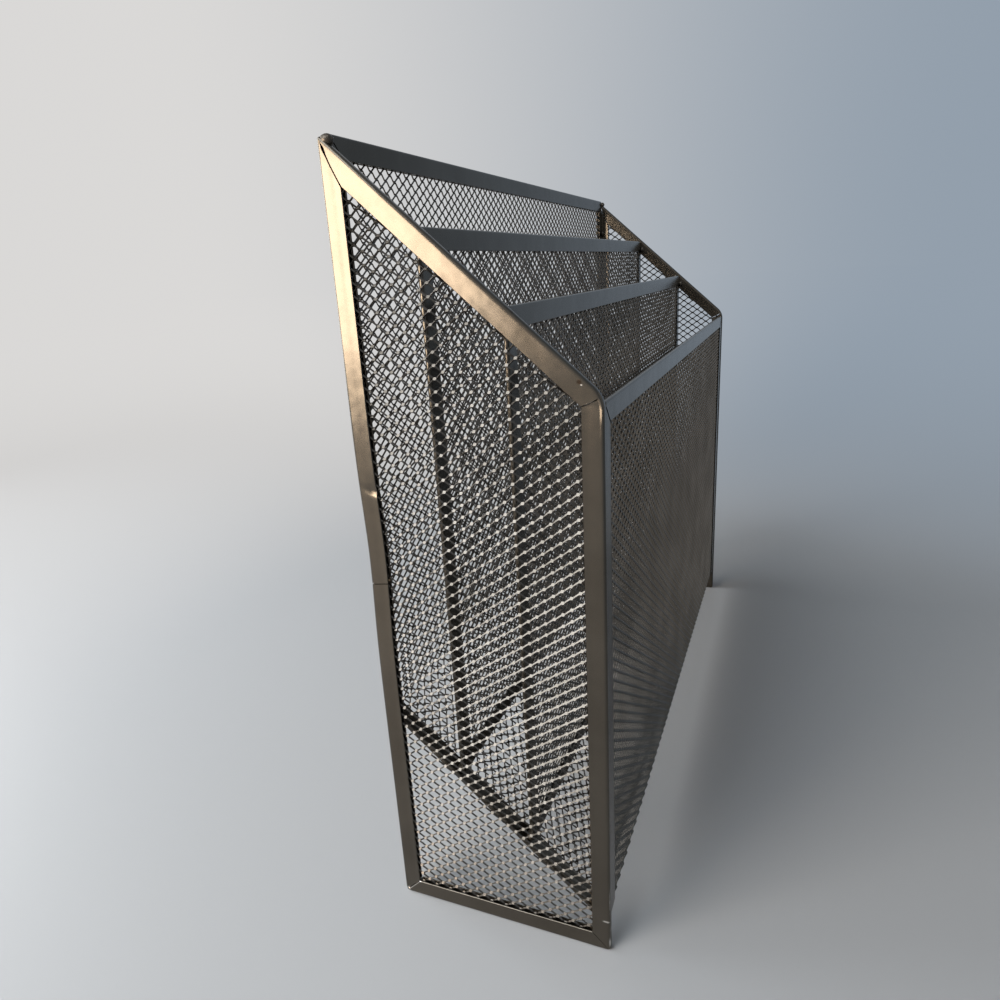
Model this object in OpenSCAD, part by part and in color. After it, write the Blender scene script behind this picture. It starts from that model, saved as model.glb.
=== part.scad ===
// Desk file organizer of expanded steel mesh, with three upright pockets that step up from front to back.
// One mesh sheet is folded into front, sloping floor and back. Two dividers stand on the floor, and a
// tapered side panel closes each end. A folded steel strip binds every cut edge of the mesh.
// X runs along the pockets, the low front faces -Y, and Z = 0 is the table.

/* [Overall] */
// Width over both side panels
width = 330; // [240:1:420]
// Depth over the front and the back
depth = 85.5; // [70:0.5:140]
// Height of a side panel at the front, to its sharp corner
front_h = 205; // [160:1:250]
// Height of a side panel at the back, to its sharp corner
back_h = 281.5; // [260:0.5:330]
// How far the front's top lies below the side panels' sharp corners
front_drop = 2.3; // [0:0.1:6]
// How far the back stands above the side panels' sharp corners
back_rise = 0.5; // [0:0.5:6]
// Height of the floor's middle plane where it would meet the front
floor_z = 9.5; // [6:0.5:40]
// Place of the front divider's middle, as a share of the depth from the front
front_divider_at = 0.35; // [0.25:0.01:0.45]
// Place of the rear divider's middle, as a share of the depth from the front
rear_divider_at = 0.66; // [0.55:0.01:0.75]

/* [Binding strip] */
// Visible width of the folded strip
strip_w = 6.8; // [5:0.1:12]
// Thickness over the folded strip
strip_t = 3; // [2.4:0.1:4]
// Gauge of the strip's steel
gauge = 0.6; // [0.4:0.1:0.8]
// Outside radius of the strip's fold
fold_r = 1; // [0.9:0.1:1.2]
// Gap at the seams where the strip is notched or its ends meet
seam = 0.3; // [0.1:0.05:0.6]
// Height of the butt seam on a side panel's back run
butt_z = 137.5; // [60:0.5:200]

/* [Corners and folds] */
// Outside radius of a side panel's top front corner
top_front_r = 9; // [3:0.5:16]
// Outside radius of a side panel's top back corner
top_back_r = 2; // [2:0.5:8]
// Outside radius of a side panel's two bottom corners
foot_r = 2.5; // [2:0.5:8]
// Outside radius of the corners of the dividers, front and back
panel_r = 3; // [2:0.5:8]
// Radius of the sheet's two folds, to the middle of its thickness
bend_r = 2.5; // [2.5:0.5:8]

/* [Mesh] */
// Long way of a diamond, centre to centre
diamond_w = 24; // [18:1:40]
// Short way of a diamond, centre to centre
diamond_h = 16; // [12:1:28]
// Width of a strand between two diamonds
strand_w = 3.4; // [2:0.1:4.5]
// Smallest part of a diamond that stays open at an edge, as an area
least_gap = 6; // [1:1:20]

/* [Welds] */
// Radius of a weld bead
bead_r = 2; // [1.5:0.1:2.5]
// Length of a weld bead
bead_len = 5; // [3:0.5:6]
// Height between the weld beads that hold the front or the back
bead_step = 80; // [40:5:100]

/* [Hidden] */
$fn = 48;
over = 1;
// A bent stretch is drawn in by nip and reaches by lap_turn degrees into the straight ones that it joins
nip = 0.02;
lap_turn = 1.5;
// Width of flange that a folded edge takes with it
lap = 0.5;
y_front = -depth / 2;
y_back = depth / 2;
slope = atan((back_h - front_h) / depth);
inner_x = width / 2 - strip_t;
mesh_t = strip_t - 2 * gauge;
mesh_edge = strip_t / 2;
clear_h = 3 * strip_w;

// Middle planes of the folded sheet's front and back, and of the dividers between them
front_y = y_front + strip_t / 2;
back_y = y_back - strip_t / 2;
front_divider_y = y_front + front_divider_at * depth;
rear_divider_y = y_front + rear_divider_at * depth;

// Folds of the sheet: tangent length, centre in the Y-Z plane and where the flat parts end
front_tangent = bend_r / tan((90 - slope) / 2);
rear_tangent = bend_r / tan((90 + slope) / 2);
front_bend = [front_y + bend_r, floor_z + front_tangent];
rear_bend = [back_y - bend_r, floor_at(back_y) + rear_tangent];
floor_normal = [sin(slope), -cos(slope)];
floor_low = front_bend + bend_r * floor_normal;
floor_high = rear_bend + bend_r * floor_normal;
fold_reach = (bend_r + mesh_t / 2) * sin(lap_turn);

// Tops of the front and the back
front_top = front_h - front_drop;
back_top = back_h + back_rise;

// Side panel outline in the Y-Z plane
side_outline = [[y_front, 0], [y_back, 0], [y_back, back_h], [y_front, front_h]];
side_radii = [foot_r, foot_r, top_back_r, top_front_r];
panel_radii = [panel_r, panel_r, panel_r, panel_r];

strip_colour = [0.38, 0.34, 0.29];
mesh_colour = [0.22, 0.20, 0.18];
weld_colour = [0.30, 0.27, 0.24];

// Height of the floor's middle plane, of a divider's foot on it and of the side panels' slope
function floor_at(y) = floor_z + tan(slope) * (y - front_y);
function divider_foot(y) =
    floor_at(y + strip_t / 2 - fold_r) + (strip_t / 2 + fold_r) / cos(slope) - fold_r;
function slope_at(y) = front_h + tan(slope) * (y - y_front);
function divider_top(y) = slope_at(y - strip_t / 2);

// Edge directions, outward normals and corner centres of a convex outline that runs anticlockwise
function next(pts, i) = pts[(i + 1) % len(pts)];
function before(pts, i) = pts[(i + len(pts) - 1) % len(pts)];
function unit(v) = v / norm(v);
function normal(pts, i) = let (d = unit(next(pts, i) - pts[i])) [d.y, -d.x];
function normal_before(pts, i) = let (d = unit(pts[i] - before(pts, i))) [d.y, -d.x];
function inset_corner(pts, i, by) =
    let (n = normal(pts, i), m = normal_before(pts, i)) pts[i] - by * (n + m) / (1 + n * m);
function inset(pts, by) = [for (i = [0:len(pts) - 1]) inset_corner(pts, i, by)];
function rect(x0, x1, z0, z1) = [[x0, z0], [x1, z0], [x1, z1], [x0, z1]];

// Part of a convex polygon inside a convex window, cut by one edge of the window after another
function cut_by(poly, p, n) =
    let (m = len(poly), s = [for (q = poly) (q - p) * n])
    [for (i = [0:1:m - 1]) let (j = (i + 1) % m) each concat(
        s[i] <= 0 ? [poly[i]] : [],
        (s[i] <= 0) != (s[j] <= 0) ? [poly[i] + (poly[j] - poly[i]) * s[i] / (s[i] - s[j])] : []
    )];
function cut_to(poly, window, i = 0) =
    i == len(window) || len(poly) < 3 ? poly
    : cut_to(cut_by(poly, window[i], normal(window, i)), window, i + 1);
function area(p) =
    len(p) < 3 ? 0 : 0.5 * abs([for (i = [0:len(p) - 1]) cross(p[i], next(p, i))] * [for (q = p) 1]);

// One opening of the mesh, and all openings that show in a window
function diamond(c) =
    let (a = diamond_w / 2, b = diamond_h / 2, k = 1 - strand_w / 2 * norm([a, b]) / (a * b))
    [c - [k * a, 0], c - [0, k * b], c + [k * a, 0], c + [0, k * b]];
function openings(window) =
    let (
        xs = [for (p = window) p.x],
        zs = [for (p = window) p.y],
        mid = [(min(xs) + max(xs)) / 2, (min(zs) + max(zs)) / 2],
        columns = ceil((max(xs) - min(xs)) / diamond_w) + 1,
        rows = ceil((max(zs) - min(zs)) / diamond_h) + 1
    )
    [for (i = [-columns:columns], j = [-rows:rows]) if ((i + j) % 2 == 0)
        let (gap = cut_to(diamond(mid + [i * diamond_w / 2, j * diamond_h / 2]), window))
        if (area(gap) > least_gap) gap];

// Places a shape drawn in X-Y in the plane of a side panel, or of a cross panel with its middle at y
module in_side_plane() { rotate([90, 0, 90]) children(); }
module in_cross_plane(y) { translate([0, y, 0]) rotate([90, 0, 0]) children(); }

// Outline with round corners, moved inwards by an inset
module rounded(pts, radii, by = 0) {
    polygon([for (i = [0:len(pts) - 1]) each [
        inset_corner(pts, i, radii[i]) + (radii[i] - by) * normal_before(pts, i),
        inset_corner(pts, i, radii[i]) + (radii[i] - by) * normal(pts, i)
    ]]);
    for (i = [0:len(pts) - 1])
        translate(inset_corner(pts, i, radii[i])) circle(r = radii[i] - by);
}

// Section of the strip's folded edge: web and round fold, with a lap just below the faces of both flanges.
// An inset draws it all in.
module fold_section(by = 0) {
    difference() {
        union() {
            translate([-lap, by + nip - strip_t / 2]) square([lap, strip_t - 2 * (by + nip)]);
            translate([-lap, fold_r - strip_t / 2]) square([lap + fold_r - by, strip_t - 2 * fold_r]);
            for (s = [-1, 1]) translate([0, s * (strip_t / 2 - fold_r)]) circle(r = fold_r - by);
        }
        translate([-lap - over, -mesh_t / 2 - by])
            square([over + lap + fold_r - gauge + by, mesh_t + 2 * by]);
    }
}

// Whole section of the strip: two flanges and the folded edge, with the inner edge at 0
module strip_section(by = 0) {
    translate([strip_w - fold_r, 0]) fold_section(by);
    for (s = [-1, 1])
        translate([by, s * (strip_t - gauge) / 2 - gauge / 2 + by])
            square([strip_w - fold_r - by, gauge - 2 * by]);
}

// Flat frame of strip, folded round an outline and notched at each corner
module strip_frame(pts, radii) {
    window = inset(pts, strip_w);
    difference() {
        union() {
            for (z = [-strip_t / 2, strip_t / 2 - gauge])
                translate([0, 0, z]) linear_extrude(gauge) difference() {
                    rounded(pts, radii, fold_r + lap / 2);
                    polygon(window);
                }
            for (i = [0:len(pts) - 1]) {
                edge_fold(pts, radii, i);
                corner_fold(pts, radii, i);
            }
        }
        for (i = [0:len(pts) - 1]) corner_notch(pts, radii, window, i);
    }
}

// Folded edge along one straight side of an outline
module edge_fold(pts, radii, i) {
    j = (i + 1) % len(pts);
    n = normal(pts, i);
    start = inset_corner(pts, i, radii[i]) + (radii[i] - fold_r) * n;
    end = inset_corner(pts, j, radii[j]) + (radii[j] - fold_r) * n;
    translate(end) rotate([90, 0, atan2(n.y, n.x)]) linear_extrude(norm(end - start)) fold_section();
}

// Folded edge round one corner of an outline
module corner_fold(pts, radii, i) {
    m = normal_before(pts, i);
    turn = acos(m * normal(pts, i));
    translate(inset_corner(pts, i, radii[i])) rotate(atan2(m.y, m.x) - lap_turn)
        rotate_extrude(angle = turn + 2 * lap_turn) translate([radii[i] - fold_r, 0]) fold_section(nip);
}

// Mitred notch in both flanges at one corner, from the window to just short of the fold
module corner_notch(pts, radii, window, i) {
    inner = window[i];
    outward = unit(normal(pts, i) + normal_before(pts, i));
    outer = inset_corner(pts, i, radii[i]) + (radii[i] - 2 * fold_r) * outward;
    run = outer - inner;
    translate(inner) rotate(atan2(run.y, run.x))
        translate([-over, -seam / 2, -strip_t / 2 - over])
            cube([norm(run) + over, seam, strip_t + 2 * over]);
}

// Flat mesh sheet that fills a frame and reaches into its strip
module mesh_sheet(pts, radii) {
    translate([0, 0, -mesh_t / 2]) linear_extrude(mesh_t) difference() {
        rounded(pts, radii, mesh_edge);
        for (gap = openings(inset(pts, strip_w))) polygon(gap);
    }
}

// Flat part of the folded sheet: a rectangle that reaches into the strip on the sides that have one
module sheet_part(z0, z1, top = true) {
    rim = inner_x - mesh_edge;
    translate([0, 0, -mesh_t / 2]) linear_extrude(mesh_t) difference() {
        polygon(rect(-rim, rim, z0, z1 - (top ? mesh_edge : 0)));
        for (gap = openings(rect(strip_w - inner_x, inner_x - strip_w, z0, z1 - (top ? strip_w : 0))))
            polygon(gap);
    }
}

// Straight run of strip from a to b in the plane of a side panel, with its web at the right end
module strip_run(a, b) {
    turn = atan2(b.y - a.y, b.x - a.x);
    translate(b) rotate(turn) rotate([0, -90, 0]) linear_extrude(norm(b - a)) strip_section();
}

// Frame of a cross panel that stands between the side panels
function panel_outline(z0, z1) = rect(-inner_x, inner_x, z0, z1);

// Area of a cross panel's frame that belongs to its top strip, and to its right end strip
module top_area(z) {
    polygon([
        [-inner_x - over, z + over], [strip_w + over - inner_x, z - strip_w - over],
        [inner_x - strip_w - over, z - strip_w - over], [inner_x + over, z + over]
    ]);
}
module end_area(z0, z) {
    polygon([
        [inner_x - strip_w - over, z0], [inner_x + over, z0],
        [inner_x + over, z + over], [inner_x - strip_w - over, z - strip_w - over]
    ]);
}
module solid_area() {
    translate([0, 0, -strip_t]) linear_extrude(2 * strip_t) children();
}

// Side panels
module side_frame() {
    color(strip_colour) in_side_plane() difference() {
        strip_frame(side_outline, side_radii);
        translate([y_back - strip_w - over, butt_z, -strip_t])
            cube([strip_w + 2 * over, seam, 2 * strip_t]);
    }
}
module side_mesh() { color(mesh_colour) in_side_plane() mesh_sheet(side_outline, side_radii); }
module left_side_frame() { translate([-(inner_x + strip_t / 2), 0, 0]) side_frame(); }
module left_side_mesh() { translate([-(inner_x + strip_t / 2), 0, 0]) side_mesh(); }
module right_side_frame() { translate([inner_x + strip_t / 2, 0, 0]) side_frame(); }
module right_side_mesh() { translate([inner_x + strip_t / 2, 0, 0]) side_mesh(); }

// Folded sheet: front, floor with both folds, and back
module front_mesh() {
    color(mesh_colour) in_cross_plane(front_y) sheet_part(front_bend.y + fold_reach, front_top);
}
module back_mesh() {
    color(mesh_colour) in_cross_plane(back_y) sheet_part(rear_bend.y + fold_reach, back_top);
}
module floor_mesh() {
    run = norm(floor_high - floor_low);
    color(mesh_colour) {
        translate([0, floor_low.x, floor_low.y]) rotate([slope, 0, 0]) sheet_part(0, run, false);
        in_side_plane() {
            sheet_fold(front_bend, 180, 90 + slope);
            sheet_fold(rear_bend, 270 + slope, 90 - slope);
        }
    }
}
module sheet_fold(centre, from, turn) {
    rim = inner_x - mesh_edge;
    translate([centre.x, centre.y, nip - rim]) rotate(from - lap_turn)
        rotate_extrude(angle = turn + 2 * lap_turn)
            translate([bend_r - mesh_t / 2 + nip, 0]) square([mesh_t - 2 * nip, 2 * (rim - nip)]);
}

// Strips that bind the folded sheet
module front_frame() {
    in_cross_plane(front_y) strip_frame(panel_outline(front_bend.y - clear_h, front_top), panel_radii);
}
module back_frame() {
    in_cross_plane(back_y) strip_frame(panel_outline(rear_bend.y - clear_h, back_top), panel_radii);
}
module front_top_strip() {
    color(strip_colour) intersection() {
        front_frame();
        in_cross_plane(front_y) solid_area() top_area(front_top);
    }
}
module back_top_strip() {
    color(strip_colour) intersection() {
        back_frame();
        in_cross_plane(back_y) solid_area() top_area(back_top);
    }
}
module right_end_strip() {
    color(strip_colour) {
        intersection() {
            front_frame();
            in_cross_plane(front_y) solid_area() end_area(front_bend.y, front_top);
        }
        intersection() {
            back_frame();
            in_cross_plane(back_y) solid_area() end_area(rear_bend.y, back_top);
        }
        translate([inner_x - strip_w, 0, 0]) in_side_plane() {
            strip_fold(front_bend, 180, 90 + slope);
            strip_run(floor_low, floor_high);
            strip_fold(rear_bend, 270 + slope, 90 - slope);
        }
    }
}
module strip_fold(centre, from, turn) {
    translate(centre) rotate(from - lap_turn) rotate_extrude(angle = turn + 2 * lap_turn)
        translate([bend_r, 0]) rotate(90) strip_section(nip);
}
module left_end_strip() { mirror([1, 0, 0]) right_end_strip(); }

// Dividers
module divider_frame(y) {
    color(strip_colour) in_cross_plane(y)
        strip_frame(panel_outline(divider_foot(y), divider_top(y)), panel_radii);
}
module divider_mesh(y) {
    color(mesh_colour) in_cross_plane(y)
        mesh_sheet(panel_outline(divider_foot(y), divider_top(y)), panel_radii);
}
module front_divider_frame() { divider_frame(front_divider_y); }
module front_divider_mesh() { divider_mesh(front_divider_y); }
module rear_divider_frame() { divider_frame(rear_divider_y); }
module rear_divider_mesh() { divider_mesh(rear_divider_y); }

// Weld bead, upright, in the groove between a side panel and one face of a cross panel at y
module upright_bead(y, face, z) {
    for (end = [-1, 1]) translate([0, 0, z - bead_len / 2]) linear_extrude(bead_len) difference() {
        translate([end * inner_x, y + face * strip_t / 2]) circle(r = bead_r);
        translate([end * (inner_x + width / 2), y]) square([width, 4 * strip_t], center = true);
        cross_plan(y);
    }
}
module cross_plan(y) {
    flat = strip_t - 2 * fold_r;
    translate([0, y]) {
        square([2 * (inner_x - fold_r), strip_t], center = true);
        square([2 * inner_x, flat], center = true);
        for (end = [-1, 1], s = [-1, 1]) translate([end * (inner_x - fold_r), s * flat / 2]) circle(r = fold_r);
    }
}

// Weld bead that holds a divider's foot to an end strip of the floor
module foot_bead(y) {
    face = y + strip_t / 2;
    seat = floor_at(face) + strip_t / 2 / cos(slope);
    foot = divider_foot(y);
    for (end = [-1, 1]) translate([end * (inner_x - strip_w / 2) - bead_len / 2, 0, 0]) in_side_plane()
        linear_extrude(bead_len) difference() {
            translate([face, seat]) circle(r = bead_r);
            translate([face, seat]) rotate(slope) translate([-4 * bead_r, -4 * bead_r])
                square([8 * bead_r, 4 * bead_r]);
            translate([face - strip_t, foot + fold_r]) square([strip_t, strip_w]);
            translate([face - fold_r, foot + fold_r]) circle(r = fold_r);
            translate([face - strip_t + fold_r, foot]) square([strip_t - 2 * fold_r, strip_w]);
        }
}
module panel_welds(y, face, top) {
    color(weld_colour) for (z = [top - strip_w, top - strip_w - bead_step]) upright_bead(y, face, z);
}
module divider_welds(y) {
    color(weld_colour) {
        for (face = [-1, 1])
            upright_bead(y, face, slope_at(y + face * (strip_t + bead_r) / 2) - strip_w / 2 / cos(slope));
        foot_bead(y);
    }
}
module front_welds() { panel_welds(front_y, 1, front_top); }
module back_welds() { panel_welds(back_y, -1, back_h - 2 * strip_w); }
module front_divider_welds() { divider_welds(front_divider_y); }
module rear_divider_welds() { divider_welds(rear_divider_y); }

left_side_frame();
left_side_mesh();
right_side_frame();
right_side_mesh();
front_mesh();
floor_mesh();
back_mesh();
front_top_strip();
back_top_strip();
left_end_strip();
right_end_strip();
front_divider_frame();
front_divider_mesh();
rear_divider_frame();
rear_divider_mesh();
front_welds();
back_welds();
front_divider_welds();
rear_divider_welds();
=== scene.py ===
"""Looks of a desk file organizer: strip-bound panels of expanded metal in a plain studio.

Lengths are millimetres in the classes and metres in Blender. Every panel is laid out flat, in
coordinates (x along the long way of the diamonds, s along the short way, n off the sheet), and a
Track carries it to its place. The folded sheet's track has the two folds in it.
"""
import logging
import math
from dataclasses import dataclass, field, replace
from enum import Enum
from typing import Any, Sequence

import bmesh
import bpy
from mathutils import Matrix, Vector, noise


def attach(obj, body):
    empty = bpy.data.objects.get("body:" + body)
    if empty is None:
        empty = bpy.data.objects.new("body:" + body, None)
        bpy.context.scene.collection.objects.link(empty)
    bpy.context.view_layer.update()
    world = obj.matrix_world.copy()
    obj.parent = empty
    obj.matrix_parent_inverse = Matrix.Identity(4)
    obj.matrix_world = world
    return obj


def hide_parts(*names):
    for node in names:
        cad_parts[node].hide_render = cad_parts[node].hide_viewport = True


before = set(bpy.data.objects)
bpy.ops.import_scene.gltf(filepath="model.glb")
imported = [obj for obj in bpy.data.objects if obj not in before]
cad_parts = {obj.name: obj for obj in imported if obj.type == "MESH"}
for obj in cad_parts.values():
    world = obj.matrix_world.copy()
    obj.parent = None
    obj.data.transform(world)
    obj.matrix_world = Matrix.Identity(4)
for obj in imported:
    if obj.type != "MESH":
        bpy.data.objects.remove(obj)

LOG = logging.getLogger("organizer")
MM = 0.001
Colour = tuple[float, float, float]
Place = tuple[float, float, float]


class Slot(Enum):
    """Material slots of the part's record."""

    STRIP = "strip"
    MESH = "mesh"
    WELD = "weld"


class Side(Enum):
    """The two tapered side panels, by the sign of their X."""

    LEFT = -1
    RIGHT = 1


class Section(Enum):
    """Kinds of cross-section along a side of a strip frame."""

    START = "on the corner before the side"
    LINE = "along the side"
    CUT = "at the butt seam"
    END = "on the corner after the side"


Station = tuple[Section, float]


@dataclass(frozen=True)
class Sizes:
    """Driving sizes of the organizer, the same as in the part's source.

    Attributes:
        width: Width over both side panels.
        depth: Depth over the front and the back.
        front_h: Height of a side panel at the front, to its sharp corner.
        back_h: Height of a side panel at the back, to its sharp corner.
        front_drop: How far the front's top lies below the side panels' corners.
        back_rise: How far the back stands above them.
        floor_z: Height at which the floor would meet the front.
        front_divider_at: Place of the front divider, as a share of the depth.
        rear_divider_at: Place of the rear divider, as a share of the depth.
        strip_w: Visible width of the folded strip.
        strip_t: Thickness over the folded strip.
        gauge: Gauge of the strip's steel.
        fold_r: Outside radius of the strip's fold.
        seam: Gap of the butt seam.
        butt_z: Height of the butt seam on a side panel's back run.
        top_front_r: Radius of a side panel's top front corner.
        panel_r: Radius of the dividers' corners.
        bend_r: Radius of the sheet's two folds.
        bead_r: Radius of a weld bead.
        bead_len: Length of a weld bead.
        bead_step: Height between the weld beads of the front and the back.
    """

    width: float = 330.0
    depth: float = 85.5
    front_h: float = 205.0
    back_h: float = 281.5
    front_drop: float = 2.3
    back_rise: float = 0.5
    floor_z: float = 9.5
    front_divider_at: float = 0.35
    rear_divider_at: float = 0.66
    strip_w: float = 6.8
    strip_t: float = 3.0
    gauge: float = 0.6
    fold_r: float = 1.0
    seam: float = 0.3
    butt_z: float = 137.5
    top_front_r: float = 9.0
    panel_r: float = 3.0
    bend_r: float = 2.5
    bead_r: float = 2.0
    bead_len: float = 5.0
    bead_step: float = 80.0

    @property
    def slope(self) -> float:
        """Angle of the sides' top edge and of the floor, in radians."""
        return math.atan2(self.back_h - self.front_h, self.depth)

    @property
    def side_x(self) -> float:
        """Distance of a side panel's middle plane from X = 0."""
        return self.width / 2 - self.strip_t / 2

    @property
    def inner_x(self) -> float:
        """Half the length of the cross panels."""
        return self.width / 2 - self.strip_t

    @property
    def back_y(self) -> float:
        """Distance of the front and back panels' middle planes from Y = 0."""
        return self.depth / 2 - self.strip_t / 2

    @property
    def front_top(self) -> float:
        """Height of the front panel."""
        return self.front_h - self.front_drop

    @property
    def back_top(self) -> float:
        """Height of the back panel."""
        return self.back_h + self.back_rise

    def floor_at(self, y: float) -> float:
        """Gives the height of the floor's middle plane.

        Args:
            y: Place along the depth.

        Returns:
            Height above the table.
        """
        return self.floor_z + (y + self.back_y) * math.tan(self.slope)

    def slope_at(self, y: float) -> float:
        """Gives the height of the sides' sloping top edge.

        Args:
            y: Place along the depth.

        Returns:
            Height above the table.
        """
        return self.front_h + (y + self.depth / 2) * math.tan(self.slope)

    def divider_foot(self, y: float) -> float:
        """Gives the height at which a divider stands on the end strips.

        Args:
            y: Middle plane of the divider.

        Returns:
            Height of the divider's lower edge.
        """
        seat = self.floor_at(y + self.strip_t / 2 - self.fold_r)
        return seat + (self.strip_t / 2 + self.fold_r) / math.cos(self.slope) - self.fold_r

    def divider_top(self, y: float) -> float:
        """Gives the height of a divider's upper edge.

        Args:
            y: Middle plane of the divider.

        Returns:
            Height above the table.
        """
        return self.slope_at(y - self.strip_t / 2)


class Graph:
    """Adds nodes to one tree and links them."""

    def __init__(self, tree: bpy.types.NodeTree) -> None:
        """Keeps the tree.

        Args:
            tree: Shader or geometry node tree.
        """
        self.tree = tree

    def add(self, kind: str, feeds: dict[str | int, Any] | None = None, **settings: Any) -> bpy.types.Node:
        """Adds one node.

        Args:
            kind: Type of the node.
            feeds: Sockets to link or values to set, by the input's name or number.
            settings: Properties of the node, set before its inputs.

        Returns:
            The node.
        """
        node = self.tree.nodes.new(kind)
        for key, value in settings.items():
            setattr(node, key, value)
        for key, value in (feeds or {}).items():
            if isinstance(value, bpy.types.NodeSocket):
                self.tree.links.new(value, node.inputs[key])
            else:
                node.inputs[key].default_value = value
        return node

    def math(self, operation: str, *values: Any) -> bpy.types.NodeSocket:
        """Adds a math node.

        Args:
            operation: What it does.
            values: Sockets or numbers.

        Returns:
            The result's socket.
        """
        return self.add("ShaderNodeMath", dict(enumerate(values)), operation=operation).outputs[0]

    def vector(self, operation: str, *values: Any) -> bpy.types.NodeSocket:
        """Adds a vector math node.

        Args:
            operation: What it does.
            values: Sockets or vectors.

        Returns:
            The result's socket, a number for a dot product.
        """
        node = self.add("ShaderNodeVectorMath", dict(enumerate(values)), operation=operation)
        return node.outputs["Value" if operation in ("DOT_PRODUCT", "LENGTH") else "Vector"]

    def scaled(self, vector: Any, by: Any) -> bpy.types.NodeSocket:
        """Scales a vector.

        Args:
            vector: Socket or vector.
            by: Socket or number.

        Returns:
            The scaled vector's socket.
        """
        feeds = {"Vector": vector, "Scale": by}
        return self.add("ShaderNodeVectorMath", feeds, operation="SCALE").outputs["Vector"]

    def joined(self, x: Any, y: Any, z: Any) -> bpy.types.NodeSocket:
        """Joins three numbers to a vector.

        Args:
            x: First part, a socket or number.
            y: Second part.
            z: Third part.

        Returns:
            The vector's socket.
        """
        return self.add("ShaderNodeCombineXYZ", {0: x, 1: y, 2: z}).outputs[0]

    def grain(self, vector: Any, scale: Any, detail: float, seed: Any) -> bpy.types.Node:
        """Adds a noise texture with a seed.

        Args:
            vector: Coordinates.
            scale: Frequency in 1/m.
            detail: Number of octaves.
            seed: Number that picks the pattern.

        Returns:
            The node.
        """
        feeds = {"Vector": vector, "W": seed, "Scale": scale, "Detail": detail}
        return self.add("ShaderNodeTexNoise", feeds, noise_dimensions="4D")

    def ramp(self, value: Any, low: Any, high: Any, to_low: Any = 0.0, to_high: Any = 1.0) -> bpy.types.NodeSocket:
        """Maps a range of numbers smoothly to another one.

        Args:
            value: Number to map.
            low: Start of the range.
            high: End of the range.
            to_low: Result at the start.
            to_high: Result at the end.

        Returns:
            The result's socket.
        """
        feeds = {0: value, 1: low, 2: high, 3: to_low, 4: to_high}
        return self.add("ShaderNodeMapRange", feeds, interpolation_type="SMOOTHSTEP").outputs[0]

    def blend(self, share: Any, a: Any, b: Any) -> bpy.types.NodeSocket:
        """Mixes two colours.

        Args:
            share: Share of the second colour.
            a: First colour, a socket or three numbers.
            b: Second colour.

        Returns:
            The mixed colour's socket.
        """
        node = self.tree.nodes.new("ShaderNodeMix")
        node.data_type = "RGBA"
        sockets = [node.inputs[0]] + [s for s in node.inputs if s.type == "RGBA"]
        for socket, value in zip(sockets, (share, a, b)):
            if isinstance(value, bpy.types.NodeSocket):
                self.tree.links.new(value, socket)
            elif isinstance(value, tuple):
                socket.default_value = (*value, 1.0)
            else:
                socket.default_value = value
        return next(s for s in node.outputs if s.type == "RGBA")


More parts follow.
